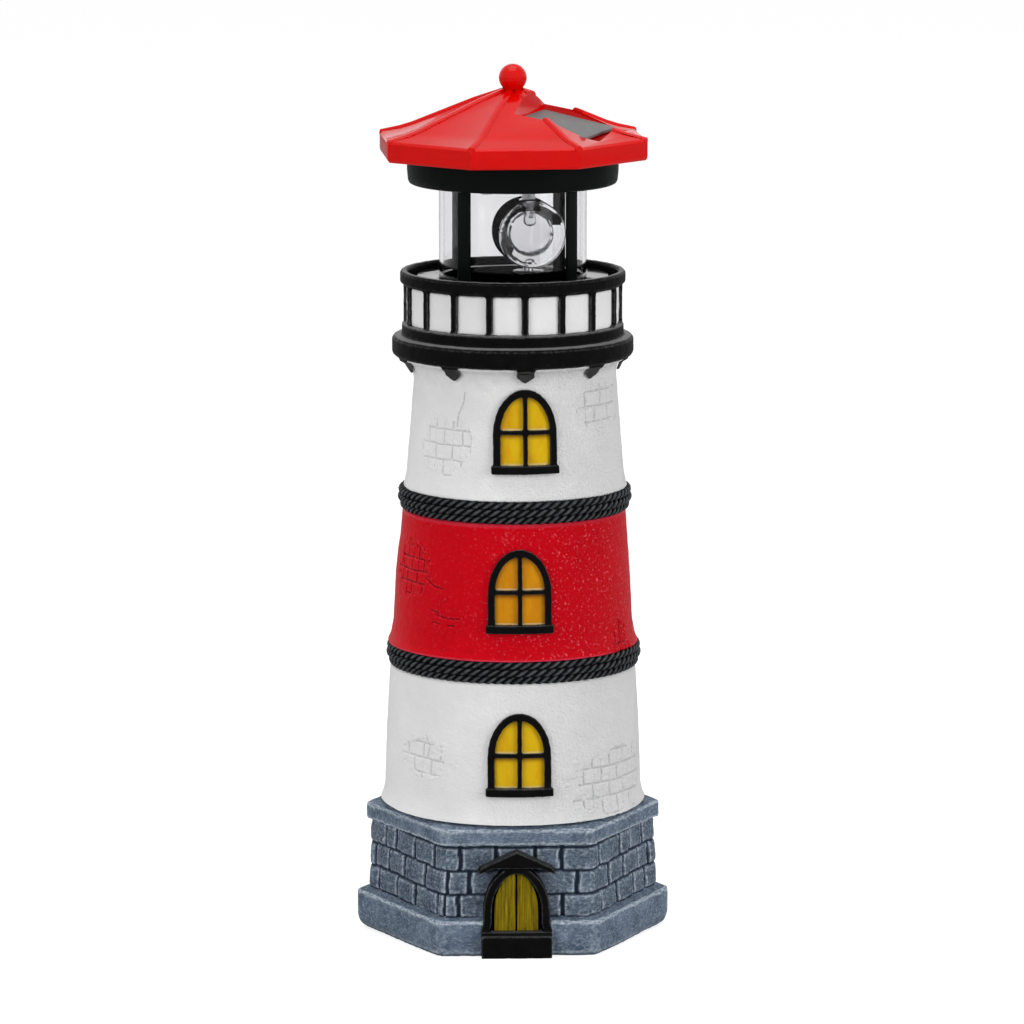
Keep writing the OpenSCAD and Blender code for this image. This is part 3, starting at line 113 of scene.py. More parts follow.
def new_finish(name, **settings):
    """A material with a Principled shader whose own sockets hold the given settings."""
    finish = finishes[name] = bpy.data.materials.new(name)
    finish.use_nodes = True
    shader = finish.node_tree.nodes["Principled BSDF"]
    for socket, value in settings.items():
        shader.inputs[socket.replace("_", " ")].default_value = value
    return finish, shader


def add_node(finish, kind, values=None, **joins):
    """A node of the kind, with values set by socket name and inputs joined to other outputs."""
    added = finish.node_tree.nodes.new("ShaderNode" + kind)
    for socket, value in (values or {}).items():
        added.inputs[socket].default_value = value
    for socket, output in joins.items():
        finish.node_tree.links.new(output, added.inputs[socket.replace("_", " ")])
    return added


def join(finish, output, target):
    finish.node_tree.links.new(output, target)


def ramp(finish, source, *stops):
    """A colour ramp through (position, colour) stops."""
    added = add_node(finish, "ValToRGB", Fac=source)
    elements = added.color_ramp.elements
    for index, (position, colour) in enumerate(stops):
        element = elements[index] if index < 2 else elements.new(position)
        element.position = position
        element.color = (*colour, 1) if len(colour) == 3 else colour
    return added.outputs["Color"]


def grey(level):
    return (level, level, level)


def pattern(finish, size_mm, detail=4, roughness=0.6, stretch=(1, 1, 1)):
    """Noise on Object coordinates whose lumps are about size_mm wide."""
    coords = add_node(finish, "TexCoord")
    place = add_node(finish, "Mapping", {"Scale": stretch}, Vector=coords.outputs["Object"])
    lumps = add_node(
        finish, "TexNoise",
        {"Scale": 1 / (size_mm * mm), "Detail": detail, "Roughness": roughness},
        Vector=place.outputs["Vector"],
    )
    return lumps.outputs["Fac"]


def relief(finish, shader, height, depth_mm, normal=None):
    """Bump of the given depth, which may be laid over another bump."""
    bump = add_node(finish, "Bump", {"Strength": 1, "Distance": depth_mm * mm}, Height=height)
    if normal:
        join(finish, normal, bump.inputs["Normal"])
    join(finish, bump.outputs["Normal"], shader.inputs["Normal"])
    return bump.outputs["Normal"]


def mixed(finish, factor, first, second):
    """The first colour where the factor is 0 and the second where it is 1."""
    added = finish.node_tree.nodes.new("ShaderNodeMix")
    added.data_type = "RGBA"
    join(finish, factor, added.inputs["Factor"])
    for socket, colour in ((added.inputs[6], first), (added.inputs[7], second)):
        if isinstance(colour, tuple):
            socket.default_value = (*colour, 1)
        else:
            join(finish, colour, socket)
    return added.outputs[2]


def scaled(finish, source, low, high, to_low=0.0, to_high=1.0):
    """Maps the source from low..high to to_low..to_high and clamps it there."""
    added = add_node(
        finish, "MapRange",
        {"From Min": low, "From Max": high, "To Min": to_low, "To Max": to_high},
        Value=source,
    )
    return added.outputs["Result"]


def combined(finish, operation, first, second):
    """One number out of two; each is a plain number or another node's output."""
    added = finish.node_tree.nodes.new("ShaderNodeMath")
    added.operation = operation
    for socket, value in zip(added.inputs, (first, second)):
        if isinstance(value, float):
            socket.default_value = value
        else:
            join(finish, value, socket)
    return added.outputs[0]


def product(finish, first, second):
    return combined(finish, "MULTIPLY", first, second)


def uneven(finish, source, colour, share):
    """The colour, changed to the given share of itself where the pattern is high."""
    return mixed(finish, scaled(finish, source, 0.3, 0.7), colour, tuple(c * share for c in colour))


def add_attribute(finish, name):
    added = finish.node_tree.nodes.new("ShaderNodeAttribute")
    added.attribute_name = name
    return added.outputs["Fac"]


def wear_and_painted_light(finish):
    """How far the surface stands out (above 0.5) or lies in a hollow (below 0.5)."""
    return add_attribute(finish, "relief")


# %% [markdown]
# ## Finishes of the tower
#
# The tower is cast, painted in flat colours and then brushed with an almost dry brush, which
# leaves pale paint on the edges alone. Each cast piece below carries a vertex attribute named
# relief, which says where its surface bulges or dips, so one recipe finds the edges of every
# stone, board and rope by itself. The same attribute also places painted light: a painted
# highlight on the plaster's raised parts and on the ropes' crests, and painted shade in the
# plaster's hollows.

# %% Plaster, in white and in red
def plaster(name, colour, groove, highlight, glint_colour, roughness, shine, glint_strength, grain_mm=0.32):
    """Rough paint with painted shade in its grooves, a painted highlight on what stands out and
    painted glints, most of them on the +X side.
    """
    finish, shader = new_finish(name, Roughness=roughness, Specular_IOR_Level=shine)
    tint = uneven(finish, pattern(finish, 14, detail=3), colour, 0.94)
    # Painted shade: the hollows are darkened towards the groove colour.
    hollow = scaled(finish, wear_and_painted_light(finish), 0.46, 0.28)
    tint = mixed(finish, hollow, tint, groove)
    # Painted highlight: what stands out is lightened towards the highlight colour.
    raised = scaled(finish, wear_and_painted_light(finish), 0.64, 0.92, 0, 0.6)
    tint = mixed(finish, raised, tint, highlight)
    coarse = relief(finish, shader, pattern(finish, 2.4, detail=5, roughness=0.6), 0.20)
    # Painted glints: pale flecks where the fine bumps peak, much more on the +X side, where the
    # light falls; that side share also deepens the bump.
    place = add_node(finish, "TexCoord")
    across = add_node(finish, "SeparateXYZ", Vector=place.outputs["Object"])
    sided = scaled(finish, across.outputs["X"], -0.025, 0.025, 0.15, 1.0)
    bumps = pattern(finish, 1.15, detail=4, roughness=0.65)
    grain = product(finish, scaled(finish, bumps, 0.38, 0.66), sided)
    glints = product(finish, scaled(finish, bumps, 0.585, 0.66, 0, glint_strength), sided)
    join(finish, mixed(finish, glints, tint, glint_colour), shader.inputs["Base Color"])
    relief(finish, shader, grain, grain_mm, coarse)
    return finish


white_plaster = plaster(
    "white_plaster", grey(0.80), (0.60, 0.60, 0.61), grey(0.84), grey(0.84),
    roughness=0.8, shine=0.2, glint_strength=0.3, grain_mm=0.42,
)
red_plaster = plaster(
    "red_plaster", (0.57, 0.0008, 0.0075), (0.24, 0.001, 0.005), (0.72, 0.06, 0.11),
    (0.82, 0.14, 0.18), roughness=0.36, shine=0.06, glint_strength=0.7,
)
panel_white = plaster(
    "panel_white", grey(0.80), (0.55, 0.55, 0.56), grey(0.84), grey(0.84),
    roughness=0.6, shine=0.2, glint_strength=0.0, grain_mm=0.03,
)

# %% Dry-brushed stone
def brushed_stone(name, darkness, chalkiness):
    """Blue-grey paint with chalky strokes that catch the edges and the grain."""
    finish, shader = new_finish(name, Roughness=0.75, Specular_IOR_Level=0.15)
    shades = (
        (0.30, (0.048, 0.072, 0.108)), (0.52, (0.092, 0.128, 0.180)), (0.72, (0.140, 0.185, 0.245)),
    )
    base = ramp(finish, pattern(finish, 8, detail=5), *(
        (position, tuple(c * darkness for c in colour)) for position, colour in shades
    ))
    strokes = pattern(finish, 1.4, detail=7, roughness=0.8, stretch=(1, 1, 1.8))
    edge = scaled(finish, wear_and_painted_light(finish), 0.52, 0.70)
    edge = product(finish, edge, scaled(finish, strokes, 0.36, 0.58))
    chalk = product(finish, scaled(finish, strokes, 0.50, 0.66), chalkiness)
    painted = mixed(finish, combined(finish, "MAXIMUM", edge, chalk), base, (0.47, 0.53, 0.60))
    hollow = scaled(finish, wear_and_painted_light(finish), 0.47, 0.30)
    painted = mixed(finish, hollow, painted, (0.016, 0.024, 0.040))
    join(finish, painted, shader.inputs["Base Color"])
    coarse = relief(finish, shader, pattern(finish, 2.2, detail=6, roughness=0.7), 0.40)
    relief(finish, shader, pattern(finish, 0.7, detail=4), 0.16, coarse)
    return finish


stone_paint = brushed_stone("blue_grey_stone", 0.80, 0.55)
slab_paint = brushed_stone("blue_grey_slab", 1.05, 0.60)

# %% Black paint with rubbed edges
def black_paint(name, base, edge_colour, edge_from, edge_to, roughness, top_highlight):
    """Black that is rubbed paler on its edges and lightened where it faces up as a painted
    highlight; on the ropes the paler edges are a painted highlight as well.
    """
    finish, shader = new_finish(name, Roughness=roughness, Specular_IOR_Level=0.04)
    rubs = pattern(finish, 2.5, detail=6, roughness=0.7)
    edge = scaled(finish, wear_and_painted_light(finish), edge_from, edge_to)
    patchy = product(finish, edge, scaled(finish, rubs, 0.28, 0.56))
    clouds = scaled(finish, pattern(finish, 6), 0.35, 0.7)
    cloudy = mixed(finish, clouds, base, tuple(c * 1.8 for c in base))
    # Painted highlight: faces that look up are lightened towards pale grey, as the light from above
    # would.
    facing = add_node(finish, "NewGeometry")
    upward = add_node(finish, "SeparateXYZ", Vector=facing.outputs["Normal"])
    top_highlight_share = scaled(finish, upward.outputs["Z"], 0.80, 0.98, 0.0, top_highlight)
    cloudy = mixed(finish, top_highlight_share, cloudy, grey(0.24))
    join(finish, mixed(finish, patchy, cloudy, edge_colour), shader.inputs["Base Color"])
    relief(finish, shader, pattern(finish, 0.9, detail=5), 0.08)
    return finish


gallery_paint = black_paint("black_paint", grey(0.0025), grey(0.13), 0.60, 0.85, 0.42, top_highlight=0.85)
window_paint = black_paint("window_black", grey(0.0025), grey(0.06), 0.66, 0.9, 0.4, top_highlight=0.3)
# On the ropes the relief marks the strands' lit crests, so their paler edge colour is a painted
# highlight.
rope_paint = black_paint(
    "charcoal_rope", (0.003, 0.0035, 0.0045), (0.09, 0.095, 0.10), 0.70, 1.0, 0.33, top_highlight=0.06,
)
corbel_grey = black_paint("corbel_grey", grey(0.028), grey(0.05), 0.62, 0.9, 0.5, top_highlight=0.2)
door_black = black_paint("door_black", grey(0.0025), grey(0.07), 0.64, 0.85, 0.45, top_highlight=0.2)

# %% Window panes and door boards
def pane_paint(name, colour, shade):
    """Thick glossy paint with painted shade just under the bars and under the arch."""
    finish, shader = new_finish(
        name, Roughness=0.3, Specular_IOR_Level=0.1, Coat_Weight=0.12, Coat_Roughness=0.06,
    )
    streaks = pattern(finish, 5, detail=4, stretch=(1, 1, 0.35))
    tint = mixed(finish, scaled(finish, streaks, 0.42, 0.72), colour, shade)
    # Painted shade: the pane is darker just under the bar and under the arch.
    tint = mixed(finish, add_attribute(finish, "shade_under_bars"), tint, tuple(c * 0.45 for c in shade))
    tint = mixed(finish, add_attribute(finish, "pale_edge"), tint, (0.80, 0.72, 0.42))
    join(finish, tint, shader.inputs["Base Color"])
    relief(finish, shader, pattern(finish, 1.6, detail=3), 0.10)
    return finish


yellow_pane = pane_paint("yellow_pane", (0.66, 0.42, 0.0035), (0.60, 0.30, 0.002))
amber_pane = pane_paint("amber_pane", (0.60, 0.245, 0.002), (0.50, 0.17, 0.002))


def board_paint(name):
    finish, shader = new_finish(name, Roughness=0.5, Specular_IOR_Level=0.08)
    grain = pattern(finish, 1.1, detail=6, roughness=0.7, stretch=(1, 1, 0.06))
    boards = ramp(
        finish, grain,
        (0.34, (0.055, 0.038, 0.002)), (0.50, (0.185, 0.135, 0.003)), (0.66, (0.30, 0.22, 0.004)),
    )
    hollow = scaled(finish, wear_and_painted_light(finish), 0.45, 0.28)
    join(finish, mixed(finish, hollow, boards, (0.03, 0.022, 0.003)), shader.inputs["Base Color"])
    relief(finish, shader, grain, 0.15)
    return finish


door_paint = board_paint("olive_door")

# %% [markdown]
# ## Finishes of the lantern
#
# The lantern is injection moulded, so its surfaces are smooth. What makes moulded plastic
# look real is a faint unevenness in its gloss and a barely visible ripple, not colour.

# %% Moulded plastic, clear plastic and metal
def moulded(name, colour, roughness, coat=0.0, ripple=0.012, shine=0.4):
    finish, shader = new_finish(
        name, Roughness=roughness, Coat_Weight=coat, Coat_Roughness=0.03, Specular_IOR_Level=shine,
    )
    tint = uneven(finish, pattern(finish, 8, detail=3), colour, 0.93)
    join(finish, tint, shader.inputs["Base Color"])
    clouds = pattern(finish, 3, detail=4)
    gloss = scaled(finish, clouds, 0.3, 0.7, roughness * 0.85, roughness * 1.2)
    join(finish, gloss, shader.inputs["Roughness"])
    relief(finish, shader, pattern(finish, 6, detail=2), ripple)
    return finish


gloss_red = moulded("gloss_red", (0.65, 0.0015, 0.0005), 0.2, coat=0.26, shine=0.04)
gloss_black = moulded("gloss_black", grey(0.004), 0.09)
satin_black = moulded("satin_black", (0.003, 0.004, 0.004), 0.35, shine=0.06)
# Painted shade: a dull black without gloss that darkens the well under the beacon and the upper
# barrel wall.
shade_black = moulded("shade_black", grey(0.0015), 0.7, shine=0.0)
pale_plastic = moulded("grey_plastic", grey(0.80), 0.35)
moulded("gear_plastic", (0.72, 0.72, 0.66), 0.35)
solar_film = moulded("solar_grey", grey(0.20), 0.6, ripple=0.004, shine=0.04)
moulded("green_board", (0.012, 0.11, 0.03), 0.3)
moulded("component_black", grey(0.02), 0.5)
moulded("battery_wrap", (0.05, 0.22, 0.08), 0.3, coat=0.4)


def clear(name, roughness, ior, tint):
    finish, shader = new_finish(
        name, Roughness=roughness, IOR=ior, Transmission_Weight=1.0,
        Base_Color=(tint, tint, tint + 0.01, 1),
    )
    relief(finish, shader, pattern(finish, 7, detail=2), 0.01)
    return finish


clear_tube = clear("clear_plastic", 0.015, 1.24, 0.85)
clear_bowl = clear("clear_bowl", 0.015, 1.46, 0.90)
clear_lamp = clear("lamp_epoxy", 0.03, 1.5, 0.92)


def metal(name, colour, roughness):
    finish, shader = new_finish(name, Metallic=1.0)
    brushed = pattern(finish, 0.5, detail=4, stretch=(1, 1, 0.1))
    join(finish, uneven(finish, brushed, colour, 0.85), shader.inputs["Base Color"])
    gloss = scaled(finish, brushed, 0.3, 0.7, roughness * 0.8, roughness * 1.3)
    join(finish, gloss, shader.inputs["Roughness"])
    return finish


bright_steel = metal("bright_steel", (0.62, 0.62, 0.63), 0.28)
metal("brass", (0.66, 0.47, 0.17), 0.28)

# %% Paint every node that keeps its own shape; a finish is named as its slot in the frame
slot_of = {part["node"]: part["material_slot"] for part in frame["record"]["subparts"]}
body_of = {
    node: body for body, nodes in frame["record"]["behaviour"]["bodies"].items() for node in nodes
}
for name, node in frame["nodes"].items():
    node.data.materials.clear()
    node.data.materials.append(finishes[slot_of[name]])
print("painted", len(frame["nodes"]), "nodes")

# %% [markdown]
# ## Modelling helpers
#
# Operators act on whatever is selected, so every step starts with a clean selection. A piece
# that is cast starts as a copy of its node, is remeshed into an even skin and smoothed a
# little: that rounds every edge, as resin and paint do. A turned piece starts as one point
# that is extruded along its outline and spun.

# %% Helpers for shapes
def select_only(piece):
    if bpy.context.object and bpy.context.object.mode != "OBJECT":
        bpy.ops.object.mode_set(mode="OBJECT")
    bpy.ops.object.select_all(action="DESELECT")
    piece.select_set(True)
    bpy.context.view_layer.objects.active = piece


def edit(piece, kind="VERT", action="SELECT"):
    """Goes into edit mode with all of a piece's points, edges or faces picked, or none."""
    select_only(piece)
    bpy.ops.object.mode_set(mode="EDIT")
    bpy.ops.mesh.select_mode(type=kind)
    bpy.ops.mesh.select_all(action=action)


def leave_edit():
    bpy.ops.object.mode_set(mode="OBJECT")


def apply_modifier(piece, kind, **settings):
    """Adds a modifier, sets it and applies it to the mesh."""
    select_only(piece)
    modifier = piece.modifiers.new(kind.lower(), kind)
    for setting, value in settings.items():
        setattr(modifier, setting, value)
    bpy.ops.object.modifier_apply(modifier=modifier.name)


def copy_node(node, name):
    """A welded copy of a node's mesh, as a new piece."""
    source = frame["nodes"][node]
    hidden = source.hide_viewport
    source.hide_viewport = False
    select_only(source)
    bpy.ops.object.duplicate()
    source.hide_viewport = hidden
    piece = bpy.context.object
    piece.name = name
    piece.parent = None
    piece.hide_render = False
    for key in [key for key in piece.keys() if key.startswith("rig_")]:
        del piece[key]
    edit(piece)
    bpy.ops.mesh.remove_doubles(threshold=0.004 * mm)
    leave_edit()
    return piece


def lumps_texture(name, size_mm):
    lumps = bpy.data.textures.new(name, "CLOUDS")
    lumps.noise_scale = size_mm * mm
    lumps.noise_depth = 3
    return lumps


def cast(piece, voxel_mm, smoothing=3, lump_mm=3.0, lump_height_mm=0.25):
    """Remeshes a piece into an even skin, rounds its edges and adds the lumps of casting."""
    apply_modifier(piece, "REMESH", mode="VOXEL", voxel_size=voxel_mm * mm)
    apply_modifier(piece, "SMOOTH", factor=0.5, iterations=smoothing)
    if lump_height_mm:
        apply_modifier(
            piece, "DISPLACE", texture=lumps_texture(piece.name + "_lumps", lump_mm),
            texture_coords="LOCAL", strength=lump_height_mm * mm, mid_level=0.5,
        )


def box_mm(node):
    """The low and the high corner of a node's box, in mm."""
    return [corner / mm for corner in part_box(node)]


def read_points(piece):
    """The vertices' places in mm and their normals."""
    count = len(piece.data.vertices)
    places, normals = np.empty(count * 3), np.empty(count * 3)
    piece.data.vertices.foreach_get("co", places)
    piece.data.vertices.foreach_get("normal", normals)
    return places.reshape(-1, 3) / mm, normals.reshape(-1, 3)


def move_points(piece, places):
    """Puts the vertices at the given places, in mm."""
    piece.data.vertices.foreach_set("co", (places * mm).ravel())
    piece.data.update()


def inside_box(places):
    """Keeps points inside the frame's own box, all in mm."""
    return np.clip(places, *(np.array(corner) / mm for corner in cad_box))


def push(piece, depths_mm):
    """Moves each vertex out along its normal by its own depth."""
    places, normals = read_points(piece)
    move_points(piece, places + normals * depths_mm[:, None])


def read_marks(piece, name):
    marks = np.empty(len(piece.data.vertices), np.float32)
    piece.data.attributes[name].data.foreach_get("value", marks)
    return marks


def write_marks(piece, name, marks):
    """Keeps one number for each vertex in an attribute that a finish can read."""
    layers = piece.data.attributes
    layer = layers.get(name) or layers.new(name, "FLOAT", "POINT")
    layer.data.foreach_set("value", np.clip(marks, 0, 1).astype(np.float32))


def mark_relief(piece, spread, gain):
    """Stores in the attribute relief how far each vertex bulges (above 0.5) or dips (below)."""
    mesh = piece.data
    places, normals = read_points(piece)
    count = len(places)
    ends = np.empty(len(mesh.edges) * 2, int)
    mesh.edges.foreach_get("vertices", ends)
    ends = ends.reshape(-1, 2)
    along = places[ends[:, 1]] - places[ends[:, 0]]
    along /= np.maximum(np.linalg.norm(along, axis=1), 1e-9)[:, None]
    bulge = np.zeros(count)
    touches = np.bincount(ends.ravel(), minlength=count)
    np.add.at(bulge, ends[:, 0], -(along * normals[ends[:, 0]]).sum(1))
    np.add.at(bulge, ends[:, 1], (along * normals[ends[:, 1]]).sum(1))
    bulge /= np.maximum(touches, 1)
    for _ in range(spread):
        near = np.zeros(count)
        np.add.at(near, ends[:, 0], bulge[ends[:, 1]])
        np.add.at(near, ends[:, 1], bulge[ends[:, 0]])
        bulge = 0.5 * bulge + 0.5 * near / np.maximum(touches, 1)
    write_marks(piece, "relief", 0.5 + gain * bulge)


def smooth_shading(piece, angle=35):
    select_only(piece)
    bpy.ops.object.shade_smooth_by_angle(angle=math.radians(angle))


def dress(piece, finish, *nodes):
    """Gives a piece its finish and lets it stand for the nodes, on the body that carries them."""
    piece.data.materials.clear()
    piece.data.materials.append(finish)
    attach(piece, body_of[nodes[0]])
    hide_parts(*nodes)
    print(piece.name, len(piece.data.polygons), "faces")


def one_point(name, x_mm, z_mm):
    """A new piece in edit mode that is a single point: a plane merged at its centre."""
    bpy.ops.object.select_all(action="DESELECT")
    bpy.ops.mesh.primitive_plane_add(size=mm)
    piece = bpy.context.object
    piece.name = name
    bpy.ops.object.mode_set(mode="EDIT")
    bpy.ops.mesh.select_mode(type="VERT")
    bpy.ops.mesh.select_all(action="SELECT")
    bpy.ops.mesh.merge(type="CENTER")
    bpy.ops.transform.translate(value=(x_mm * mm, 0, z_mm * mm))
    return piece


def weld(piece):
    """Merges points that coincide and turns all faces outwards."""
    edit(piece)
    bpy.ops.mesh.remove_doubles(threshold=0.01 * mm)
    bpy.ops.mesh.normals_make_consistent(inside=False)
    leave_edit()


def spun(name, outline, steps):
    """Extrudes a point round a closed outline of (radius, height) in mm and spins it."""
    piece = one_point(name, *outline[0])
    for (r0, z0), (r1, z1) in zip(outline, outline[1:] + outline[:1]):
        bpy.ops.mesh.extrude_region_move(
            TRANSFORM_OT_translate={"value": ((r1 - r0) * mm, 0, (z1 - z0) * mm)}
        )
    bpy.ops.mesh.select_all(action="SELECT")
    bpy.ops.mesh.spin(steps=steps, angle=2 * math.pi, center=(0, 0, 0), axis=(0, 0, 1))
    weld(piece)
    return piece


def refine_faces(piece, wanted, cuts):
    """Subdivides the faces whose centres the wanted(x, y, z) test picks, in mm."""
    edit(piece, action="DESELECT")
    leave_edit()
    mesh = piece.data
    centres = np.empty(len(mesh.polygons) * 3)
    mesh.polygons.foreach_get("center", centres)
    centres = centres.reshape(-1, 3) / mm
    picked = wanted(centres[:, 0], centres[:, 1], centres[:, 2])
    mesh.polygons.foreach_set("select", picked)
    bpy.ops.object.mode_set(mode="EDIT")
    bpy.ops.mesh.select_mode(type="FACE")
    bpy.ops.mesh.subdivide(number_cuts=cuts)
    leave_edit()


def ease(x, low, high):
    """Rises smoothly from 0 at low to 1 at high."""
    t = np.clip((x - low) / (high - low), 0, 1)
    return t * t * (3 - 2 * t)


def mottle(x, y, size, seed=0.0):
    """Smooth noise between about -1 and 1, one value for each pair of coordinates."""
    return np.array([noise.noise((a / size, b / size, seed)) for a, b in zip(x, y)])


def lumpy(places, size, seed=0.0):
    """The same in space, one value for each point."""
    return np.array([noise.noise((a / size + seed, b / size, c / size)) for a, b, c in places])


# %% [markdown]
# ## The drums of the tower
#
# Each drum is a shell that is turned round the axis, so it starts as a spun outline with rows
# about a millimetre apart. Patches of bare brickwork show through the plaster. They are cut
# into the mesh: the patch's faces are subdivided, and their points sink along the joints of a
# brick bond inside a torn edge. The window openings sink in the same way, behind the panes.

# %% Sizes of the drums, read from the frame where it can give them
lower_low, lower_high = box_mm("lower_drum")
middle_low, middle_high = box_mm("middle_drum")
upper_low, upper_high = box_mm("upper_drum")
lower_band, upper_band = box_mm("lower_rope"), box_mm("upper_rope")
row_mm = 1.15
spin_steps = 264
neck_depth = 4.65
lower_neck, upper_neck = lower_band[1].x - neck_depth, upper_band[1].x - neck_depth
print("drums stand at", round(lower_low.z, 1), round(middle_low.z, 1), round(upper_low.z, 1), "mm")


def side(z0, r0, z1, r1, swell):
    """Points up a straight side that swells a little, a row apart, without the last one."""
    rows = max(2, round((z1 - z0) / row_mm))
    return [
        (r0 + (r1 - r0) * t + 4 * swell * t * (1 - t), z0 + (z1 - z0) * t)
        for t in (k / rows for k in range(rows))
    ]


def rising(foot, *points):
    """Outline points of (radius, height above the foot)."""
    return [(radius, foot + height) for radius, height in points]


# %% Brickwork and window openings
joint_half = 0.42
wall_swell = 0.12
refine_cuts = 3
window_sink = 1.95


def settle_front(piece, drop_mm, from_height, to_height):
    """Lets the front of a casting sink a little between two heights."""
    places, _ = read_points(piece)
    share = ease(-places[:, 1], 8, 48) * ease(places[:, 2], from_height, to_height)
    places[:, 2] -= drop_mm * share
    move_points(piece, places)


class Patch:
    """A patch of bare brickwork: its turn from the door in degrees, height and half sizes.

    A patch that isn't bonded has no bricks, only crumbs.
    """

    def __init__(
        self, turn, height, half_width, half_height, seed, tilt=0.0, brick=(9.6, 6.2), bonded=1.0
    ):
        self.turn, self.height, self.seed, self.tilt, self.brick = turn, height, seed, tilt, brick
        self.half_width, self.half_height, self.bonded = half_width, half_height, bonded

    def local(self, x, y, z):
        radius = np.hypot(x, y)
        turn = np.arctan2(x, -y) - math.radians(self.turn)
        turn = (turn + math.pi) % (2 * math.pi) - math.pi
        along, up = turn * radius, z - self.height
        sine, cosine = math.sin(math.radians(self.tilt)), math.cos(math.radians(self.tilt))
        return along * cosine + up * sine, up * cosine - along * sine

    def near(self, x, y, z):
        along, up = self.local(x, y, z)
        return (np.abs(along) < self.half_width * 1.35) & (np.abs(up) < self.half_height * 1.35)

    def depth(self, x, y, z):
        along, up = self.local(x, y, z)
        result = np.zeros(len(x))
        chosen = self.near(x, y, z)
        a, u = along[chosen], up[chosen]
        reach = np.hypot(a / self.half_width, u / self.half_height)
        reach += 0.42 * mottle(a, u, 5.0, self.seed) + 0.12 * mottle(a, u, 1.8, self.seed + 9)
        inside = ease(reach, 1.05, 0.82)
        brick_length, brick_height = self.brick
        row = np.floor(u / brick_height)
        shift = np.where(row % 2 == 0, 0.0, brick_length / 2)
        a_wavy = a + 0.35 * mottle(a, u, 4.0, self.seed + 3)
        u_wavy = u + 0.30 * mottle(a, u, 5.0, self.seed + 5)
        bed = np.abs((u_wavy / brick_height + 0.5) % 1 - 0.5) * brick_height
        end = np.abs(((a_wavy - shift) / brick_length + 0.5) % 1 - 0.5) * brick_length
        joint = ease(np.minimum(bed, end), joint_half * 1.7, joint_half * 0.4)
        joint *= 0.6 + 0.4 * ease(mottle(a, u, 4.5, self.seed + 13), -0.50, -0.10)
        joint *= self.bonded
        brick = np.floor((a_wavy - shift) / brick_length + 0.5) * 3.7 + row * 9.1 + self.seed
        face = 0.14 * mottle(a, u, 1.6, self.seed + 7) + 0.13 * np.sin(brick * 12.9)
        edge = np.exp(-(((reach - 1.0) / 0.16) ** 2))
        loose = edge + 0.8 * (1 - self.bonded) * inside
        crumbs = 0.42 * loose * np.maximum(mottle(a, u, 1.5, self.seed + 15), 0)
        torn = np.exp(-(((reach - 1.02) / 0.05) ** 2))
        torn *= ease(mottle(a, u, 4.0, self.seed + 17), -0.1, 0.3)
        bare = inside * (-0.16 + face) + 0.20 * torn * (1 - inside)
        result[chosen] = bare * self.bonded - 0.50 * inside * joint + crumbs
        return result


class Crack:
    """A thin crack through (turn in degrees, height) points."""

    def __init__(self, *points):
        self.points = points

    def distance(self, x, y, z):
        radius = np.hypot(x, y)
        turn = np.degrees(np.arctan2(x, -y))
        nearest = np.full(len(x), 99.0)
        for (turn_0, z0), (turn_1, z1) in zip(self.points, self.points[1:]):
            along, up = np.radians(turn - turn_0) * radius, z - z0
            run, rise = np.radians(turn_1 - turn_0) * radius, z1 - z0
            share = np.clip((along * run + up * rise) / (run**2 + rise**2), 0, 1)
            nearest = np.minimum(nearest, np.hypot(along - share * run, up - share * rise))
        return nearest

    def near(self, x, y, z):
        return self.distance(x, y, z) < 1.4

    def depth(self, x, y, z):
        wander = 0.35 * mottle(x + z, y - z, 1.3, 21.0)
        return -0.40 * ease(self.distance(x, y, z) + wander, 0.55, 0.15)


class Opening:
    """A window's opening: the wall sinks behind the pane, and the frame hides the edge."""

    half_width, margin = 11.1, 2.5

    def __init__(self, node):
        low, high = box_mm(node)
        middle = (low + high) / 2
        self.turn = math.atan2(middle.x, -middle.y)
        self.low, self.tall = low.z, high.z - low.z

    def local(self, x, y, z):
        turn = np.arctan2(x, -y) - self.turn
        return turn * np.hypot(x, y), z - self.low

    def near(self, x, y, z):
        along, up = self.local(x, y, z)
        beside = np.abs(along) < self.half_width + self.margin
        return beside & (up > -self.margin) & (up < self.tall + self.margin) & (y < 0)

    def depth(self, x, y, z):
        along, up = self.local(x, y, z)
        spring = self.tall * 0.45
        arch = np.maximum(up - spring, 0) / (self.tall - spring)
        round_part = np.hypot(along / self.half_width, arch)
        outside = np.maximum(round_part - 1, 0) * self.half_width + np.maximum(-up, 0)
        return np.where(self.near(x, y, z), -window_sink * ease(outside, 1.1, 0.2), 0.0)


def finish_drum(piece, hollows, outer_radius):
    """Refines the wall where something is cut, sinks it there and roughens the plaster."""
    refine_faces(
        piece,
        lambda x, y, z: np.any([hollow.near(x, y, z) for hollow in hollows], axis=0)
        & (np.hypot(x, y) > outer_radius),
        refine_cuts,
    )
    places, _ = read_points(piece)
    x, y, z = places.T
    outer = (np.hypot(x, y) > outer_radius).astype(float)
    depth = sum(hollow.depth(x, y, z) for hollow in hollows)
    depth += wall_swell * lumpy(places, 4.0, 2.0) + 0.04 * lumpy(places, 2.2, 4.0)
    push(piece, depth * outer)
    mark_relief(piece, spread=1, gain=2.2)
    smooth_shading(piece, 80)


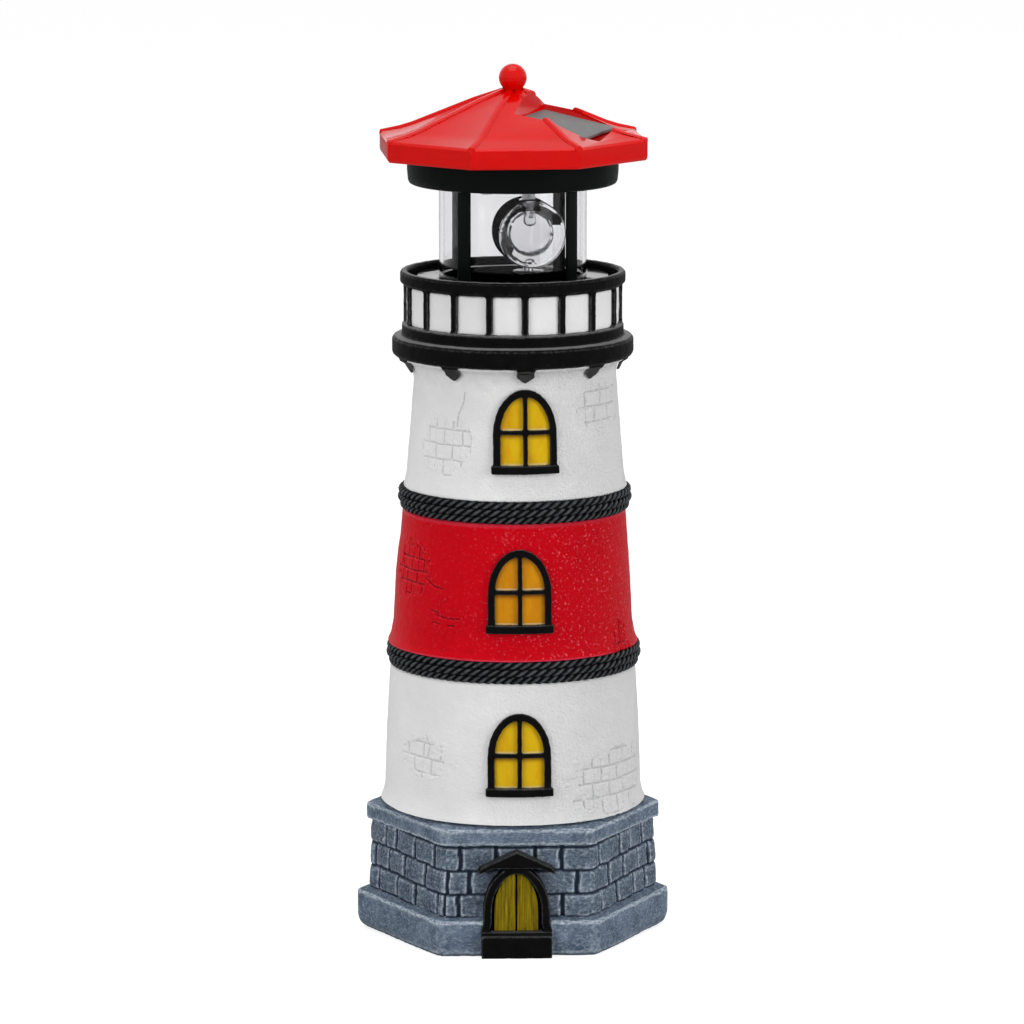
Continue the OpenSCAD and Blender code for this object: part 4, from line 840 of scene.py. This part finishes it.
# %% The lower white drum
lower_foot, lower_top = lower_low.z, lower_band[0].z
lower_outline = (
    rising(
        lower_foot, (47.2, 0), (54.7, 0), (54.6, 0.5), (54.2, 1.4), (53.8, 2.5), (53.45, 3.7),
        (53.2, 5), (53.0, 6.5),
    )
    + side(lower_foot + 8, 52.9, lower_top - 1.2, 50.7, 0.25)
    + [(50.7, lower_top - 1.2), (50.0, lower_top), (lower_neck, lower_top)]
    + [(lower_neck, lower_high.z), (43.7, lower_high.z)]
)
lower_wall = spun("lower_drum_wall", lower_outline, spin_steps)
lower_hollows = [
    Opening("lower_window_pane"),
    Patch(-47, 79, 14, 7.5, 11, tilt=-3),
    Crack((-45, 88), (-43, 84), (-44, 80)),
    Patch(52, 69, 23, 12.5, 23),
    Patch(150, 88, 12, 9, 31),
    Patch(-120, 72, 13, 9, 37),
]
finish_drum(lower_wall, lower_hollows, 49.5)
settle_front(lower_wall, 1.1, 62, 57)
dress(lower_wall, white_plaster, "lower_drum")

# %% The red drum
middle_foot, middle_top = lower_band[1].z + 0.05, upper_band[0].z
middle_outline = (
    [(43.7, middle_low.z), (lower_neck, middle_low.z)]
    + rising(
        middle_foot, (lower_neck, 0), (51.5, 0), (51.6, 0.5), (51.3, 1.1), (50.8, 2.2),
        (50.3, 3.6), (49.9, 5.6),
    )
    + side(middle_foot + 9, 49.3, middle_top - 1.2, 46.5, 0.2)
    + [(46.5, middle_top - 1.2), (45.8, middle_top), (upper_neck, middle_top)]
    + [(upper_neck, middle_high.z), (39.3, middle_high.z)]
)
middle_wall = spun("middle_drum_wall", middle_outline, spin_steps)
middle_hollows = [
    Opening("middle_window_pane"),
    Patch(-62, 155, 12, 11, 41, brick=(8, 5)),
    Crack((-50, 153), (-44, 150), (-38, 149.5)),
    Patch(-35, 138.5, 10, 6, 43, tilt=4, bonded=0.0),
    Crack((-45, 140.2), (-40, 139.3)),
    Crack((-42, 138.6), (-34, 137.5), (-28, 137.9)),
    Crack((-44, 135.4), (-40, 135.0)),
    Crack((-35, 134.6), (-31, 134.9)),
    Patch(40, 164.5, 8.5, 6.5, 47, bonded=0.0),
    Patch(60, 124.6, 6.5, 9, 53, brick=(4.4, 40)),
    Patch(170, 150, 13, 10, 59),
]
finish_drum(middle_wall, middle_hollows, 45.4)
places, _ = read_points(middle_wall)
places[:, 0] += 1.0 * ease(-places[:, 0], 14, 36) * ease(places[:, 2], 150, 172)
move_points(middle_wall, places)
dress(middle_wall, red_plaster, "middle_drum")

# %% The upper white drum
upper_foot, cove_foot = upper_band[1].z + 0.05, 231.0
cove_radius, upper_radius = 46.2, 41.6
cove = [
    (cove_radius - (cove_radius - upper_radius) * math.cos(a), cove_foot + 8.55 * math.sin(a))
    for a in (math.radians(15 * k) for k in range(1, 7))
]
upper_outline = (
    [(39.3, upper_low.z), (upper_neck, upper_low.z)]
    + rising(
        upper_foot, (upper_neck, 0), (45.9, 0), (46.0, 0.5), (45.8, 1.2), (45.5, 2.2),
        (45.2, 3.5), (44.9, 5.2),
    )
    + side(upper_foot + 6.5, 44.65, cove_foot, upper_radius, 0)
    + [(upper_radius, cove_foot)] + cove
    + [(cove_radius, upper_high.z), (37.4, upper_high.z), (37.4, 225)]
)
upper_wall = spun("upper_drum_wall", upper_outline, spin_steps)
upper_hollows = [
    Opening("upper_window_pane"),
    Patch(-44, 208, 14.0, 11.5, 61),
    Crack((-35, 216), (-34, 221), (-31, 226), (-30.5, 229.5)),
    Patch(54, 223, 13, 9, 67),
    Patch(-150, 205, 12, 9, 71),
    Patch(130, 212, 11, 9, 73),
]
finish_drum(upper_wall, upper_hollows, 41.0)
places, _ = read_points(upper_wall)
lean = ease(np.abs(places[:, 0]), 14, 36)
places[:, 0] += lean * ease(places[:, 2], upper_high.z - 3, upper_high.z - 10)
move_points(upper_wall, places)
dress(upper_wall, white_plaster, "upper_drum")

# %% [markdown]
# ## The ropes
#
# Three turns of laid rope cover each joint. A rope is three strands that twist round each
# other. Three circles are screwed along a straight line, so each sweeps out one strand, and
# the straight rope is then bent into a full ring, where its two ends meet.

# %% Lay one rope and bend it
strand_share = 0.49
lay_length = 11.3
# For each turn, from the lowest up: how far it is set in (mm), and how many twists it has more
turns_in_joint = ((1.05, 2), (0.05, 0), (0.35, -1))


def laid_ring(name, ring_radius, rope_radius, height, start, more_twists):
    """A three-strand rope bent into a ring; sizes in mm."""
    length = 2 * math.pi * ring_radius
    twists = round(length / lay_length) + more_twists
    strand = rope_radius * strand_share
    throw = rope_radius - strand
    bpy.ops.object.select_all(action="DESELECT")
    bpy.ops.object.add(type="MESH")
    piece = bpy.context.object
    piece.name = name
    bpy.ops.object.mode_set(mode="EDIT")
    bpy.ops.mesh.select_mode(type="VERT")
    for k in range(3):
        turn = 2 * math.pi * k / 3 + start
        bpy.ops.mesh.primitive_circle_add(
            vertices=10, radius=strand * mm,
            location=(0, throw * mm * math.cos(turn), throw * mm * math.sin(turn)),
            rotation=(0, math.pi / 2, 0),
        )
    bpy.ops.object.mode_set(mode="OBJECT")
    apply_modifier(
        piece, "SCREW", axis="X", angle=2 * math.pi * twists, steps=15 * twists,
        render_steps=15 * twists, screw_offset=length * mm, use_merge_vertices=False,
    )
    places, _ = read_points(piece)
    # Painted highlight: the outward crests of the strands get a high relief, which the black paint
    # turns paler.
    lit_crest = ease(np.hypot(places[:, 1], places[:, 2]), throw, rope_radius)
    lit_crest *= ease(places[:, 1] / rope_radius, -0.1, 0.8)
    write_marks(piece, "relief", 0.35 + 0.6 * lit_crest)
    turn = (places[:, 0] - places[:, 0].min()) / length * 2 * math.pi
    out = ring_radius + places[:, 1]
    bent = np.stack([out * np.sin(turn), -out * np.cos(turn), height + places[:, 2]], 1)
    move_points(piece, bent)
    weld(piece)
    return piece


def rope_band(name, node, aside_mm):
    """The turns of rope on one joint, joined as one piece; the middle turn stands out most."""
    low, high = box_mm(node)
    thick = (high.z - low.z) / len(turns_in_joint)
    rings = [
        laid_ring(
            f"{name}_{k}", high.x - thick / 2 - set_in, thick / 2 + 0.2,
            low.z + thick * (k + 0.5), 1.3 * k, more_twists,
        )
        for k, (set_in, more_twists) in enumerate(turns_in_joint)
    ]
    select_only(rings[0])
    for ring in rings[1:]:
        ring.select_set(True)
    bpy.ops.object.join()
    band = bpy.context.object
    band.name = name
    bpy.ops.transform.translate(value=(aside_mm * mm, 0, 0))
    bpy.ops.object.transform_apply(location=True, rotation=True, scale=True)
    apply_modifier(
        band, "DISPLACE", texture=lumps_texture(name + "_fibres", 0.9),
        texture_coords="LOCAL", strength=0.22 * mm, mid_level=0.5,
    )
    smooth_shading(band, 80)
    dress(band, rope_paint, node)


rope_band("lower_rope_band", "lower_rope", 0.3)
rope_band("upper_rope_band", "upper_rope", 0.8)

# %% [markdown]
# ## The plinth
#
# The plinth is one casting made to look like masonry. Its wall is modelled as a six-sided
# cylinder: the upright corners are bevelled, the ends inset and opened, and the two openings
# bridged into a ring. An even remesh then gives it points half a millimetre apart, which sink
# along the joints of three courses, so every stone keeps soft, uneven edges. The footing and
# the cap are cut from a copy of the node.

# %% Pick parts of a mesh by their place
def pick(piece, kind, test):
    """Goes into edit mode with only the faces or edges picked whose corners (mm) pass."""
    edit(piece, kind, "DESELECT")
    leave_edit()
    corners = [vertex.co / mm for vertex in piece.data.vertices]
    for part in piece.data.polygons if kind == "FACE" else piece.data.edges:
        part.select = test([corners[k] for k in part.vertices])
    bpy.ops.object.mode_set(mode="EDIT")


# %% The ring of the wall
stone_corner, wall_foot, course_height, corner_rounding = 59.3, 17.3, 9.7, 5.0
stone_flat = stone_corner * math.cos(math.radians(30))
wall_top = wall_foot + 3 * course_height


def hexagonal_ring(name, corner, low, high, thickness):
    """A six-sided ring with rounded corners, faces towards -Y and +Y; sizes in mm."""
    bpy.ops.object.select_all(action="DESELECT")
    bpy.ops.mesh.primitive_cylinder_add(
        vertices=6, radius=corner * mm, depth=(high - low) * mm,
        location=(0, 0, (low + high) / 2 * mm), rotation=(0, 0, math.radians(30)),
    )
    piece = bpy.context.object
    piece.name = name
    bpy.ops.object.transform_apply(location=True, rotation=True, scale=True)
    pick(piece, "EDGE", lambda ends: abs(ends[0].z - ends[1].z) > 1)
    bpy.ops.mesh.bevel(offset=corner_rounding * math.tan(math.radians(30)) * mm, segments=5)
    leave_edit()
    pick(piece, "FACE", lambda corners: max(c.z for c in corners) - min(c.z for c in corners) < 1)
    bpy.ops.mesh.inset(thickness=thickness * mm)
    bpy.ops.mesh.delete(type="FACE")
    bpy.ops.mesh.select_mode(type="EDGE")
    bpy.ops.mesh.select_non_manifold()
    bpy.ops.mesh.bridge_edge_loops()
    weld(piece)
    return piece


stone_wall = hexagonal_ring("stone_wall", stone_corner, wall_foot - 2.4, wall_top + 0.6, 6.4)
apply_modifier(stone_wall, "REMESH", mode="VOXEL", voxel_size=0.57 * mm)
print("stone wall:", len(stone_wall.data.polygons), "faces")

# %% Joints between the stones
face_length = stone_corner
perimeter = 6 * face_length
# The upright joints of each course, as seen in the photograph: the front, right and left face
seen_joints = {
    0: ((-30.0, -23.7, 18.0), (-28.6, -19.5, 24.0), (-23.2, -8.8, 7.0, 18.0)),
    1: ((-20.6, -6.5, 8.0, 18.4), (-13.4, -0.6, 12.3, 22.3), (-21.9, -3.2, 5.6, 17.0)),
    5: ((-21.0, -6.3, 7.6, 24.5), (-24.5, -13.9, -1.4, 14.5), (-16.6, -8.2, 6.4, 21.6)),
}


def course_joints(course):
    """Places of one course's upright joints along the whole perimeter, in mm from the front."""
    places = []
    for face in range(6):
        if face in seen_joints:
            along = seen_joints[face][course]
        else:
            first = -22 if course % 2 else -14.6
            along = [first + 14.8 * k + 2.2 * math.sin(5 * k + 3 * course + face) for k in range(3)]
        places += [face * face_length + a for a in along]
    return np.array(sorted(p % perimeter for p in places))


def along_perimeter(x, y):
    """Each point's place along the perimeter and its distance out from the axis, in mm."""
    face = np.round(np.degrees(np.arctan2(x, -y)) / 60) % 6
    a = np.radians(60 * face)
    return face * face_length + x * np.cos(a) + y * np.sin(a), x * np.sin(a) - y * np.cos(a)


def stone_depth(along, y, z):
    """How far points stand out of the plain face, in mm, and how far they are joint (0 to 1)."""
    wavy_up = z + 1.8 * ease(-y, 8, 48)
    wavy_up += 0.45 * mottle(along, z, 7.0, 1.0) + 0.2 * mottle(along, z, 2.5, 2.0)
    wavy_along = along + 0.6 * mottle(along, z, 5.0, 3.0)
    level = (wavy_up - wall_foot) / course_height
    course = np.clip(np.floor(level), 0, 2).astype(int)
    bed = np.minimum(level - course, course + 1 - level) * course_height
    upright, stone = np.empty(len(z)), np.empty(len(z))
    for number in range(3):
        chosen = course == number
        joints = course_joints(number)
        gaps = wavy_along[chosen, None] - joints[None, :]
        gaps = (gaps + perimeter / 2) % perimeter - perimeter / 2
        upright[chosen] = np.abs(gaps).min(1)
        stone[chosen] = np.searchsorted(joints, wavy_along[chosen] % perimeter) % len(joints)
        stone[chosen] += 40 * number
    lift = 0.55 * np.modf(np.abs(np.sin(stone * 12.9898) * 43758.5453))[0] - 0.1
    tilt = (np.modf(np.abs(np.sin(stone * 78.233) * 9631.17))[0] - 0.5) * 0.07
    joint = np.maximum(ease(upright, 1.15, 0.55), 0.85 * ease(np.abs(bed), 0.75, 0.25))
    groove = -1.1 * ease(upright, 1.25, 0.6) - 0.6 * np.exp(-((bed / 0.6) ** 2))
    groove -= 0.25 * np.exp(-((np.minimum(np.abs(bed), upright) / 1.9) ** 2))
    rough = 0.28 * mottle(along, z, 3.4, 5.0) + 0.16 * mottle(along, z, 1.5, 6.0)
    leaning = tilt * (wavy_up - wall_foot - (course + 0.5) * course_height)
    return groove + lift + leaning + rough, joint


flare_of_wall, joint_mark = 0.022, 0.27
places, _ = read_points(stone_wall)
along, out = along_perimeter(places[:, 0], places[:, 1])
outer_side = ease(out, stone_flat - 2.4, stone_flat - 1.2)
depth, joint = stone_depth(along, places[:, 1], places[:, 2])
push(stone_wall, depth * outer_side)
places, _ = read_points(stone_wall)
places[:, :2] *= (1 + flare_of_wall * ease(places[:, 2], 46, 15))[:, None]
move_points(stone_wall, places)
apply_modifier(stone_wall, "SMOOTH", factor=0.35, iterations=1)
mark_relief(stone_wall, spread=1, gain=1.7)
bulge = read_marks(stone_wall, "relief")
write_marks(stone_wall, "relief", bulge + (joint_mark - bulge) * joint * outer_side)
smooth_shading(stone_wall, 80)
dress(stone_wall, stone_paint, "plinth")

# %% The footing and the cap, cut from the node
def slice_of(node, name, low=None, high=None):
    """A copy of a node, cut off below and above, with the cuts filled."""
    piece = copy_node(node, name)
    for height, clear in ((low, "clear_inner"), (high, "clear_outer")):
        if height is not None:
            edit(piece)
            bpy.ops.mesh.bisect(
                plane_co=(0, 0, height * mm), plane_no=(0, 0, 1), use_fill=True, **{clear: True}
            )
            leave_edit()
    return piece


def wear_edges(piece, chip_mm, lump_mm, seed):
    """Chips the edges that stand out and leaves the flat parts alone."""
    mark_relief(piece, spread=3, gain=2.0)
    places, _ = read_points(piece)
    chips = lumpy(places + (0, 0, seed), lump_mm)
    chips += 0.5 * lumpy(places - (0, 0, seed), lump_mm * 0.35)
    bulge = read_marks(piece, "relief")
    push(piece, -chip_mm * ease(bulge, 0.56, 0.8) * ease(chips, -0.15, 0.45))


foot_rounding = 6.5
plinth_slabs = [
    slice_of("plinth", "plinth_footing", high=wall_foot + 0.25),
    slice_of("plinth", "plinth_cap", low=wall_top - 0.1),
]
settle_front(plinth_slabs[0], 1.4, 6, 15)
settle_front(plinth_slabs[1], 0.8, 40, 46)
settle_front(plinth_slabs[1], 0.5, 52, 55)
for slab in plinth_slabs:
    cast(slab, 0.58, smoothing=2, lump_mm=4.5, lump_height_mm=0.55)
    wear_edges(slab, 0.4, 4.0, 3.0)
    places, _ = read_points(slab)
    corner = ease(np.abs(places[:, 0]), 40, 60) * 0.75 + 0.25
    rounded = corner * np.clip(1 - places[:, 2] / foot_rounding, 0, 1) ** 2
    places[:, :2] *= (1 - 0.045 * rounded)[:, None]
    move_points(slab, inside_box(places))
    mark_relief(slab, spread=2, gain=2.6)
    smooth_shading(slab, 80)
    dress(slab, slab_paint, "plinth")

# %% [markdown]
# ## The door and the windows
#
# These are castings too. A copy of each node is remeshed into an even skin and smoothed,
# which rounds its edges as paint does, and shallow lumps make its outline hand-made. The
# gable over the door gets its own step back behind the boards.

# %% Cast copies
def cast_copy(
    node, name, finish, voxel_mm, lump_mm, lump_height_mm,
    smoothing=3, gain=2.0, spread=1, shape=None,
):
    """A cast piece made from a node; shape is a function that moves its points a little."""
    piece = copy_node(node, name)
    cast(piece, voxel_mm, smoothing, lump_mm, lump_height_mm)
    if shape:
        shape(piece)
    mark_relief(piece, spread=spread, gain=gain)
    smooth_shading(piece, 80)
    dress(piece, finish, node)
    return piece


gable_slope, gable_board, gable_foot, gable_step = 6.8 / 14.85, 3.4, 36.5, 1.3


def sink_gable(piece):
    """Pushes the gable's face back, so the two boards stand in front of it."""
    places, normals = read_points(piece)
    x, y, z = places.T
    under_board = box_mm("door_frame")[1].z - np.abs(x) * gable_slope - gable_board - z
    in_front = (y < box_mm("door_leaves")[0].y - 5.0) * (normals[:, 1] < -0.5)
    places[:, 1] += gable_step * ease(under_board, 0.0, 0.5) * (z > gable_foot) * in_front
    move_points(piece, places)


def mark_pane_shade(piece):
    """Marks the painted shade of a pane under a bar and under its arch, and where its edge is pale.
    """
    places, _ = read_points(piece)
    z = places[:, 2]
    low, high = z.min(), z.max()
    bar = low + 0.472 * (high - low)
    shade_under_bars = ease(z, bar - 3.6, bar - 1.0) * (z < bar) + 0.6 * ease(z, high - 5, high - 1)
    pale = ease(z, low + 1.1, low + 0.7) + ease(z, bar + 1.6, bar + 1.2) * (z > bar)
    write_marks(piece, "shade_under_bars", shade_under_bars)
    write_marks(piece, "pale_edge", 0.45 * pale)


def widen_step(piece):
    """Sets the gable back and lets the step and the frame's foot spread a little."""
    sink_gable(piece)
    places, _ = read_points(piece)
    x, y, z = places.T
    spread = ease(z, 14.5, 11.5)
    places[:, 0] += np.sign(x) * ease(np.abs(x), 6, 11) * (0.9 + 0.8 * spread) * (z < 36) - 0.6
    move_points(piece, inside_box(places))


def narrow_leaves(piece):
    """Draws the leaves in by the paint that covers their edges."""
    places, _ = read_points(piece)
    middle = places[:, 0].mean()
    places[:, 0] = middle + (places[:, 0] - middle) * 0.95 - 0.7
    move_points(piece, places)


cast_copy("door_frame", "door_surround", door_black, 0.42, 3.0, 0.35, shape=widen_step)
cast_copy(
    "door_leaves", "door_boards", door_paint, 0.26, 2.4, 0.2, smoothing=2, shape=narrow_leaves,
)
for level, pane_finish in (("lower", yellow_pane), ("middle", amber_pane), ("upper", yellow_pane)):
    window = f"{level}_window_"
    cast_copy(window + "frame", window + "bars", window_paint, 0.32, 2.6, 0.30)
    cast_copy(
        window + "pane", window + "glass", pane_finish, 0.34, 2.2, 0.18,
        smoothing=2, shape=mark_pane_shade,
    )

# %% [markdown]
# ## The gallery
#
# The deck, its corbels and the rail are black castings, and the white panels stand behind the
# rail. All are remeshed copies of their nodes.

# %% Gallery pieces
deck_underside = 240.5
rim_slimming = 1.3
# How far (degrees) the bars near these turns from the door stand off their even places
bar_turns = (-180, -62, -35.5, -15.5, 4.5, 24.5, 44.5, 64.5, 100, 180)
bar_shifts = (0, 0.6, 1.0, 1.1, -0.35, 0, 0, 2.6, 0, 0)


def lengthen_corbels(piece):
    """Draws the shields under the deck a little further down."""
    places, _ = read_points(piece)
    places[:, 2] += 0.16 * np.minimum(places[:, 2] - deck_underside, 0)
    move_points(piece, places)


def raise_top(piece):
    """Lets the panels reach up behind the rim, which is slimmer here than in the frame."""
    places, _ = read_points(piece)
    top = places[:, 2].max()
    places[:, 2] += rim_slimming * ease(places[:, 2], top - 4, top)
    move_points(piece, places)


def shift_bars(piece):
    """Turns each bar to its uneven place on the hand-made rail and slims the rim from below."""
    low, high = box_mm("parapet_wall")
    places, _ = read_points(piece)
    x, y, z = places.T
    radius, turn = np.hypot(x, y), np.arctan2(x, -y)
    shift = np.radians(np.interp(np.degrees(turn), bar_turns, bar_shifts))
    shift *= ease(z, low.z + 0.2, low.z + 1.2) * ease(z, high.z + 0.6, high.z - 0.4)
    under_rim = np.exp(-(((z - high.z - 0.2) / 1.6) ** 2)) * (z > low.z + 5)
    places[:, 2] += rim_slimming * ease(radius, 40, 43) * under_rim
    places[:, 0], places[:, 1] = radius * np.sin(turn + shift), -radius * np.cos(turn + shift)
    move_points(piece, places)


gallery_floor = cast_copy(
    "gallery_deck", "gallery_floor", gallery_paint, 0.5, 4.0, 0.35, shape=lengthen_corbels,
)
cast_copy(
    "parapet_rail", "gallery_rail", gallery_paint, 0.42, 2.6, 0.32,
    gain=1.8, spread=2, shape=shift_bars,
)
cast_copy(
    "parapet_wall", "gallery_panels", panel_white, 0.7, 4.0, 0.35, smoothing=1, shape=raise_top,
)

# %% [markdown]
# ## The lantern
#
# These pieces are moulded, so they keep their crisp shape. A copy of each node is cleaned of
# its loose triangles with a limited dissolve, and a bevel gives every edge the small radius
# of a mould. The clear tube is spun finely, because facets show in anything clear.

# %% Moulded copies
def moulded_copy(node, name, finish, edge_mm, segments=3):
    piece = copy_node(node, name)
    edit(piece)
    bpy.ops.mesh.dissolve_limited(angle_limit=math.radians(0.6))
    leave_edit()
    if edge_mm:
        apply_modifier(
            piece, "BEVEL", width=edge_mm * mm, segments=segments, limit_method="ANGLE",
            angle_limit=math.radians(24), use_clamp_overlap=True, harden_normals=False,
        )
    smooth_shading(piece, 32)
    dress(piece, finish, node)
    return piece


def repaint_faces(piece, finish, test):
    """Gives a second finish to the faces that pass a test of their corners (mm) and normal."""
    piece.data.materials.append(finish)
    points = piece.data.vertices
    for face in piece.data.polygons:
        if test([points[k].co / mm for k in face.vertices], face.normal):
            face.material_index = 1


def on_corbel(corners, normal):
    """The corbels' outward faces, which get the grey finish."""
    outwards = normal.xy.dot(corners[0].xy) > 0.45 * corners[0].xy.length
    return outwards and abs(normal.z) < 0.85 and max(c.z for c in corners) < deck_underside - 0.4


def on_well(corners, normal):
    """The bottom of the well under the beacon, which is painted dark and dull as painted shade."""
    return all(c.xy.length < 29.2 and c.z > 262 for c in corners)


repaint_faces(gallery_floor, corbel_grey, on_corbel)
lantern_foot = moulded_copy("lantern_base", "lantern_foot", gloss_black, 0.35)
repaint_faces(lantern_foot, shade_black, on_well)
moulded_copy("lantern_posts", "lantern_uprights", satin_black, 0.3)
moulded_copy("roof_collar", "roof_skirt", satin_black, 0.3)
roof_shell = moulded_copy("roof", "roof_shell", gloss_red, 0.6)
places, _ = read_points(roof_shell)
places[:, :2] *= (1 + 0.021 * ease(np.hypot(places[:, 0], places[:, 1]), 38, 50))[:, None]
move_points(roof_shell, places)
solar_cell = moulded_copy("solar_panel", "solar_cell", solar_film, 0.25)
cell_middle = sum((Vector(corner) for corner in solar_cell.bound_box), Vector()) / 8
select_only(solar_cell)
bpy.ops.transform.resize(value=(1.05, 1.06, 1.0), center_override=cell_middle)
bpy.ops.transform.translate(value=(-0.4 * mm, -0.5 * mm, 0.35 * mm))
bpy.ops.object.transform_apply(location=True, rotation=True, scale=True)

# %% The ball on the peak
ball_low, ball_high = box_mm("roof_ball")
ball_radius = ball_high.x
ball_centre = ball_high.z - ball_radius
ball_outline = rising(ball_low.z, (0.0, 0), (3.6, 0), (3.9, 1.2)) + [
    (ball_radius * math.cos(math.radians(a)), ball_centre + ball_radius * math.sin(math.radians(a)))
    for a in range(-42, 90, 6)
] + [(0.0, ball_high.z)]
roof_knob = spun("roof_knob", ball_outline, 64)
smooth_shading(roof_knob, 40)
dress(roof_knob, gloss_red, "roof_ball")

# %% The clear tube
tube_low, tube_high = box_mm("lamp_tube")
tube_outer, tube_inner, tube_edge = tube_high.x, tube_high.x - 1.4, 0.2
clear_wall = spun("clear_wall", [
    (tube_inner + tube_edge, tube_low.z), (tube_outer - tube_edge, tube_low.z),
    (tube_outer, tube_low.z + tube_edge), (tube_outer, tube_high.z - tube_edge),
    (tube_outer - tube_edge, tube_high.z), (tube_inner + tube_edge, tube_high.z),
    (tube_inner, tube_high.z - tube_edge), (tube_inner, tube_low.z + tube_edge),
], 240)
smooth_shading(clear_wall, 40)
dress(clear_wall, clear_tube, "lamp_tube")

# %% The beacon
drum_low, drum_high = box_mm("beacon_drum")
drum_outer = (drum_high.z - drum_low.z - 1.7) / 2
drum_middle = (drum_low + drum_high) / 2
drum_middle.z = drum_high.z - drum_outer
drum_axis = Vector((math.sin(math.radians(8)), -math.cos(math.radians(8)), 0))


def on_barrel(corners, normal):
    """The upper part of the barrel's outer wall, more of it on the left, painted dark as painted
    shade for the dark collar that the clear rim shows.
    """
    out = sum(corners, Vector()) / len(corners) - drum_middle
    out -= drum_axis * out.dot(drum_axis)
    lowest = -0.75 if out.x < 0 else 0.25
    on_wall = abs(normal.dot(drum_axis)) < 0.3 and out.length > drum_outer - 0.3
    return on_wall and out.z / drum_outer > lowest


beacon_bowl = moulded_copy("beacon_drum", "beacon_bowl", clear_bowl, 0.25, segments=2)
repaint_faces(beacon_bowl, shade_black, on_barrel)
print("masked faces:", sum(face.material_index for face in beacon_bowl.data.polygons))
moulded_copy("beacon_lenses", "beacon_glasses", clear_bowl, 0.0)
moulded_copy("turntable", "beacon_table", gloss_black, 0.15, segments=2)
moulded_copy("lamp", "beacon_lamp", clear_lamp, 0.0)
moulded_copy("lamp_spacer", "lamp_sleeve", pale_plastic, 0.15, segments=2)

# %% The wires inside the lamp
lamp_low, lamp_high = box_mm("lamp")
lamp_middle = (lamp_low + lamp_high) / 2
for name, across, width, depth, foot, top in (
    ("lamp_anvil", 0.45, 1.3, 0.7, 3.4, 6.6), ("lamp_post", -1.0, 0.5, 0.5, 3.9, 7.4),
):
    place = Vector((lamp_middle.x + across, lamp_middle.y, lamp_low.z + (foot + top) / 2))
    bpy.ops.object.select_all(action="DESELECT")
    bpy.ops.mesh.primitive_cube_add(size=mm, location=place * mm)
    wire = bpy.context.object
    wire.name = name
    wire.scale = (width, depth, top - foot)
    bpy.ops.object.transform_apply(location=True, rotation=True, scale=True)
    apply_modifier(wire, "BEVEL", width=0.12 * mm, segments=2)
    smooth_shading(wire)
    dress(wire, bright_steel, "lamp")

# %% [markdown]
# ## Floor and light
#
# The floor and the world are white where the camera sees them, and a plain grey where they
# light the object, so the background stays white while the object keeps its shading. One
# large soft light hangs overhead and one stands at each side of the camera.

# %% Floor
bpy.ops.object.select_all(action="DESELECT")
bpy.ops.mesh.primitive_plane_add(size=24)
floor = bpy.context.object
floor.name = "floor"
floor_finish, floor_shader = new_finish(
    "floor_paint", Roughness=1.0, Specular_IOR_Level=0.0,
    Base_Color=(0.55, 0.55, 0.55, 1), Emission_Color=(1, 1, 1, 1),
)


def seen_directly(finish, *other_rays):
    """1 for the rays that show the surface: from the camera, through glass or the given ones."""
    rays = add_node(finish, "LightPath").outputs
    total = rays["Is Camera Ray"]
    for ray in ("Is Transmission Ray",) + other_rays:
        total = combined(finish, "MAXIMUM", total, rays[ray])
    return total


glow = scaled(floor_finish, seen_directly(floor_finish), 0, 1, 0.0, 0.75)
join(floor_finish, glow, floor_shader.inputs["Emission Strength"])
floor.data.materials.append(floor_finish)

# %% World
world = bpy.data.worlds.new("studio")
bpy.context.scene.world = world
world.use_nodes = True
sky = world.node_tree.nodes["Background"]
sky.inputs["Color"].default_value = (1, 1, 1, 1)
brightness = scaled(world, seen_directly(world, "Is Glossy Ray"), 0, 1, 0.43, 1.0)
join(world, brightness, sky.inputs["Strength"])

# %% Lights
def soft_light(name, place, aim_at, width, height, watts, mirrored=True):
    bpy.ops.object.light_add(type="AREA", location=place)
    lamp = bpy.context.object
    lamp.name = name
    lamp.rotation_euler = (Vector(aim_at) - Vector(place)).to_track_quat("-Z", "Y").to_euler()
    lamp.data.shape = "RECTANGLE"
    lamp.data.size = width
    lamp.data.size_y = height
    lamp.data.energy = watts
    lamp.visible_glossy = mirrored


soft_light("overhead_light", (-0.1, 0.0, 1.7), (0, 0, 0.2), 1.25, 1.25, 11.5)
soft_light("left_light", (-1.4, -1.3, 0.7), (0, 0, 0.17), 1.0, 1.4, 15, mirrored=False)
soft_light("right_light", (1.5, -1.1, 0.6), (0, 0, 0.17), 0.8, 1.2, 18, mirrored=False)
print("lights and floor stand")

# %% Finish and note the sizes
print("CAD box", [[round(v, 4) for v in c] for c in cad_box])
